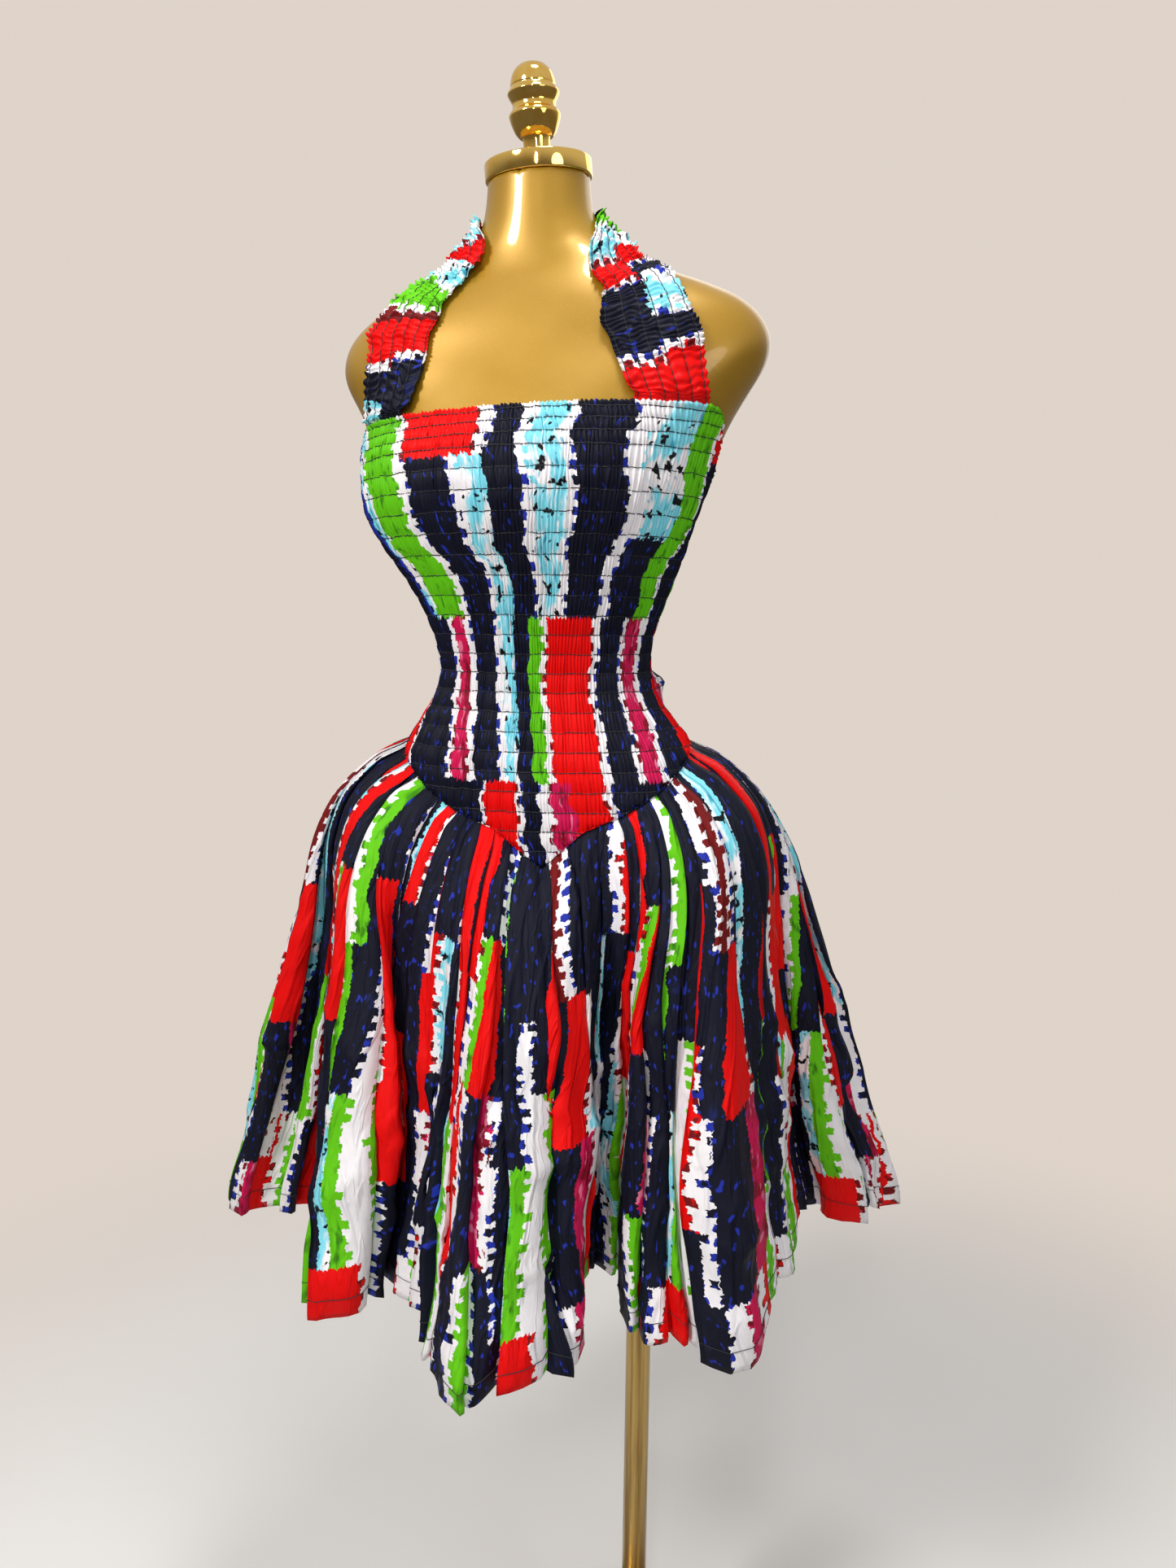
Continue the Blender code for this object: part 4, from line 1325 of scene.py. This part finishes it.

# floor, light and camera

view = {
    "place": (0.0927, -1.0832, 1.160),
    "turn": 8.0,
    "pitch": -8.0,
    "roll": 0.7,
    "pixelsFocal": 1400.0,
    "pixelsWide": 1445.0,
}
softboxes = {  # place, aim, size, power, colour
    "keySoftbox": ((-1.5, -1.9, 2.6), (-0.1, 0, 1.0), (0.7, 0.7), 60, (1.0, 0.98, 0.95)),
    "fillSoftbox": ((2.0, -1.8, 1.7), (-0.1, 0, 1.0), (1.2, 1.6), 18, (0.97, 0.98, 1.0)),
    "topSoftbox": ((0.1, -0.4, 2.9), (-0.1, 0, 1.0), (0.5, 0.5), 20, (1.0, 1.0, 1.0)),
    "backSoftbox": ((0.9, 2.3, 2.4), (-0.1, 0, 1.0), (2.2, 2.2), 14, (1.0, 0.99, 0.97)),
    "frontStrip": ((0.05, -1.6, 1.75), (-0.1, 0, 1.3), (0.12, 0.6), 6, (1.0, 1.0, 1.0)),
}
studio = {
    "mirrored": 0.45,
    "even": 0.23,
    "wall": (0.78, 0.69, 0.62, 1),
    "wallLight": 0.95,
    "floorFade": (0.7, 1.7),
}


def makeFloor():
    bm = bmesh.new()
    bmesh.ops.create_grid(bm, x_segments=1, y_segments=1, size=6)
    mesh = bpy.data.meshes.new("floor")
    bm.to_mesh(mesh)
    bm.free()
    material, tree, shader = blankMaterial("paleFloor")
    where = put(tree, "ShaderNodeTexCoord").outputs["Object"]
    cloud = noiseAt(tree, where, 3.0, 2.0)
    tree.links.new(tint(tree, cloud, (0.86, 0.84, 0.82), (0.90, 0.88, 0.86)), shader.inputs["Base Color"])
    shader.inputs["Roughness"].default_value = 0.6
    distance = put(tree, "ShaderNodeVectorMath", {"operation": "LENGTH"}, i0=where).outputs["Value"]
    near, far = studio["floorFade"]
    tree.links.new(step(tree, distance, far, near), shader.inputs["Alpha"])
    floor = addPiece("floor", mesh, material)
    floor.location.z = -0.0005


def makeLight(name, place, aim, size, power, colour):
    data = bpy.data.lights.new(name, "AREA")
    data.shape = "ELLIPSE"
    data.size, data.size_y = size
    data.energy = power
    data.color = colour
    lamp = bpy.data.objects.new(name, data)
    lamp.location = place
    lamp.rotation_euler = (Vector(aim) - Vector(place)).to_track_quat("-Z", "Y").to_euler()
    bpy.context.scene.collection.objects.link(lamp)


def makeCamera():
    data = bpy.data.cameras.new("camera")
    data.sensor_fit = "HORIZONTAL"
    data.sensor_width = 36.0
    data.lens = view["pixelsFocal"] / view["pixelsWide"] * data.sensor_width
    camera = bpy.data.objects.new("camera", data)
    turn = Matrix.Rotation(radians(view["turn"]), 4, "Z")
    pitch = Matrix.Rotation(radians(90 + view["pitch"]), 4, "X")
    roll = Matrix.Rotation(radians(view["roll"]), 4, "Z")
    camera.matrix_world = Matrix.Translation(view["place"]) @ turn @ pitch @ roll
    bpy.context.scene.collection.objects.link(camera)
    bpy.context.scene.camera = camera


# a pale studio, brighter above and darker below so that polished metal has something to show
def makeWorld():
    world = bpy.data.worlds.new("studio")
    world.use_nodes = True
    tree = world.node_tree
    where = put(tree, "ShaderNodeTexCoord").outputs["Generated"]
    height = put(tree, "ShaderNodeSeparateXYZ", Vector=where).outputs[2]
    colour = tint(tree, step(tree, height, -0.6, 0.9), (0.70, 0.63, 0.56), (0.92, 0.88, 0.84))
    light = tree.nodes["Background"]
    tree.links.new(colour, light.inputs["Color"])
    ray = put(tree, "ShaderNodeLightPath")
    mirrored = times(tree, ray.outputs["Is Glossy Ray"], step(tree, height, -0.05, 0.45))
    strength = maths(tree, "ADD", studio["even"], times(tree, mirrored, studio["mirrored"]))
    tree.links.new(strength, light.inputs["Strength"])
    wall = put(tree, "ShaderNodeBackground", Color=studio["wall"], Strength=studio["wallLight"])
    seen = ray.outputs["Is Camera Ray"]
    both = put(tree, "ShaderNodeMixShader", i0=seen, i1=light.outputs[0], i2=wall.outputs[0])
    tree.links.new(both.outputs[0], tree.nodes["World Output"].inputs["Surface"])
    bpy.context.scene.world = world
    bpy.context.scene.view_settings.view_transform = "Standard"


makeFloor()
for name, lamp in softboxes.items():
    makeLight(name, *lamp)
makeWorld()
makeCamera()
print("floor, light and camera set")
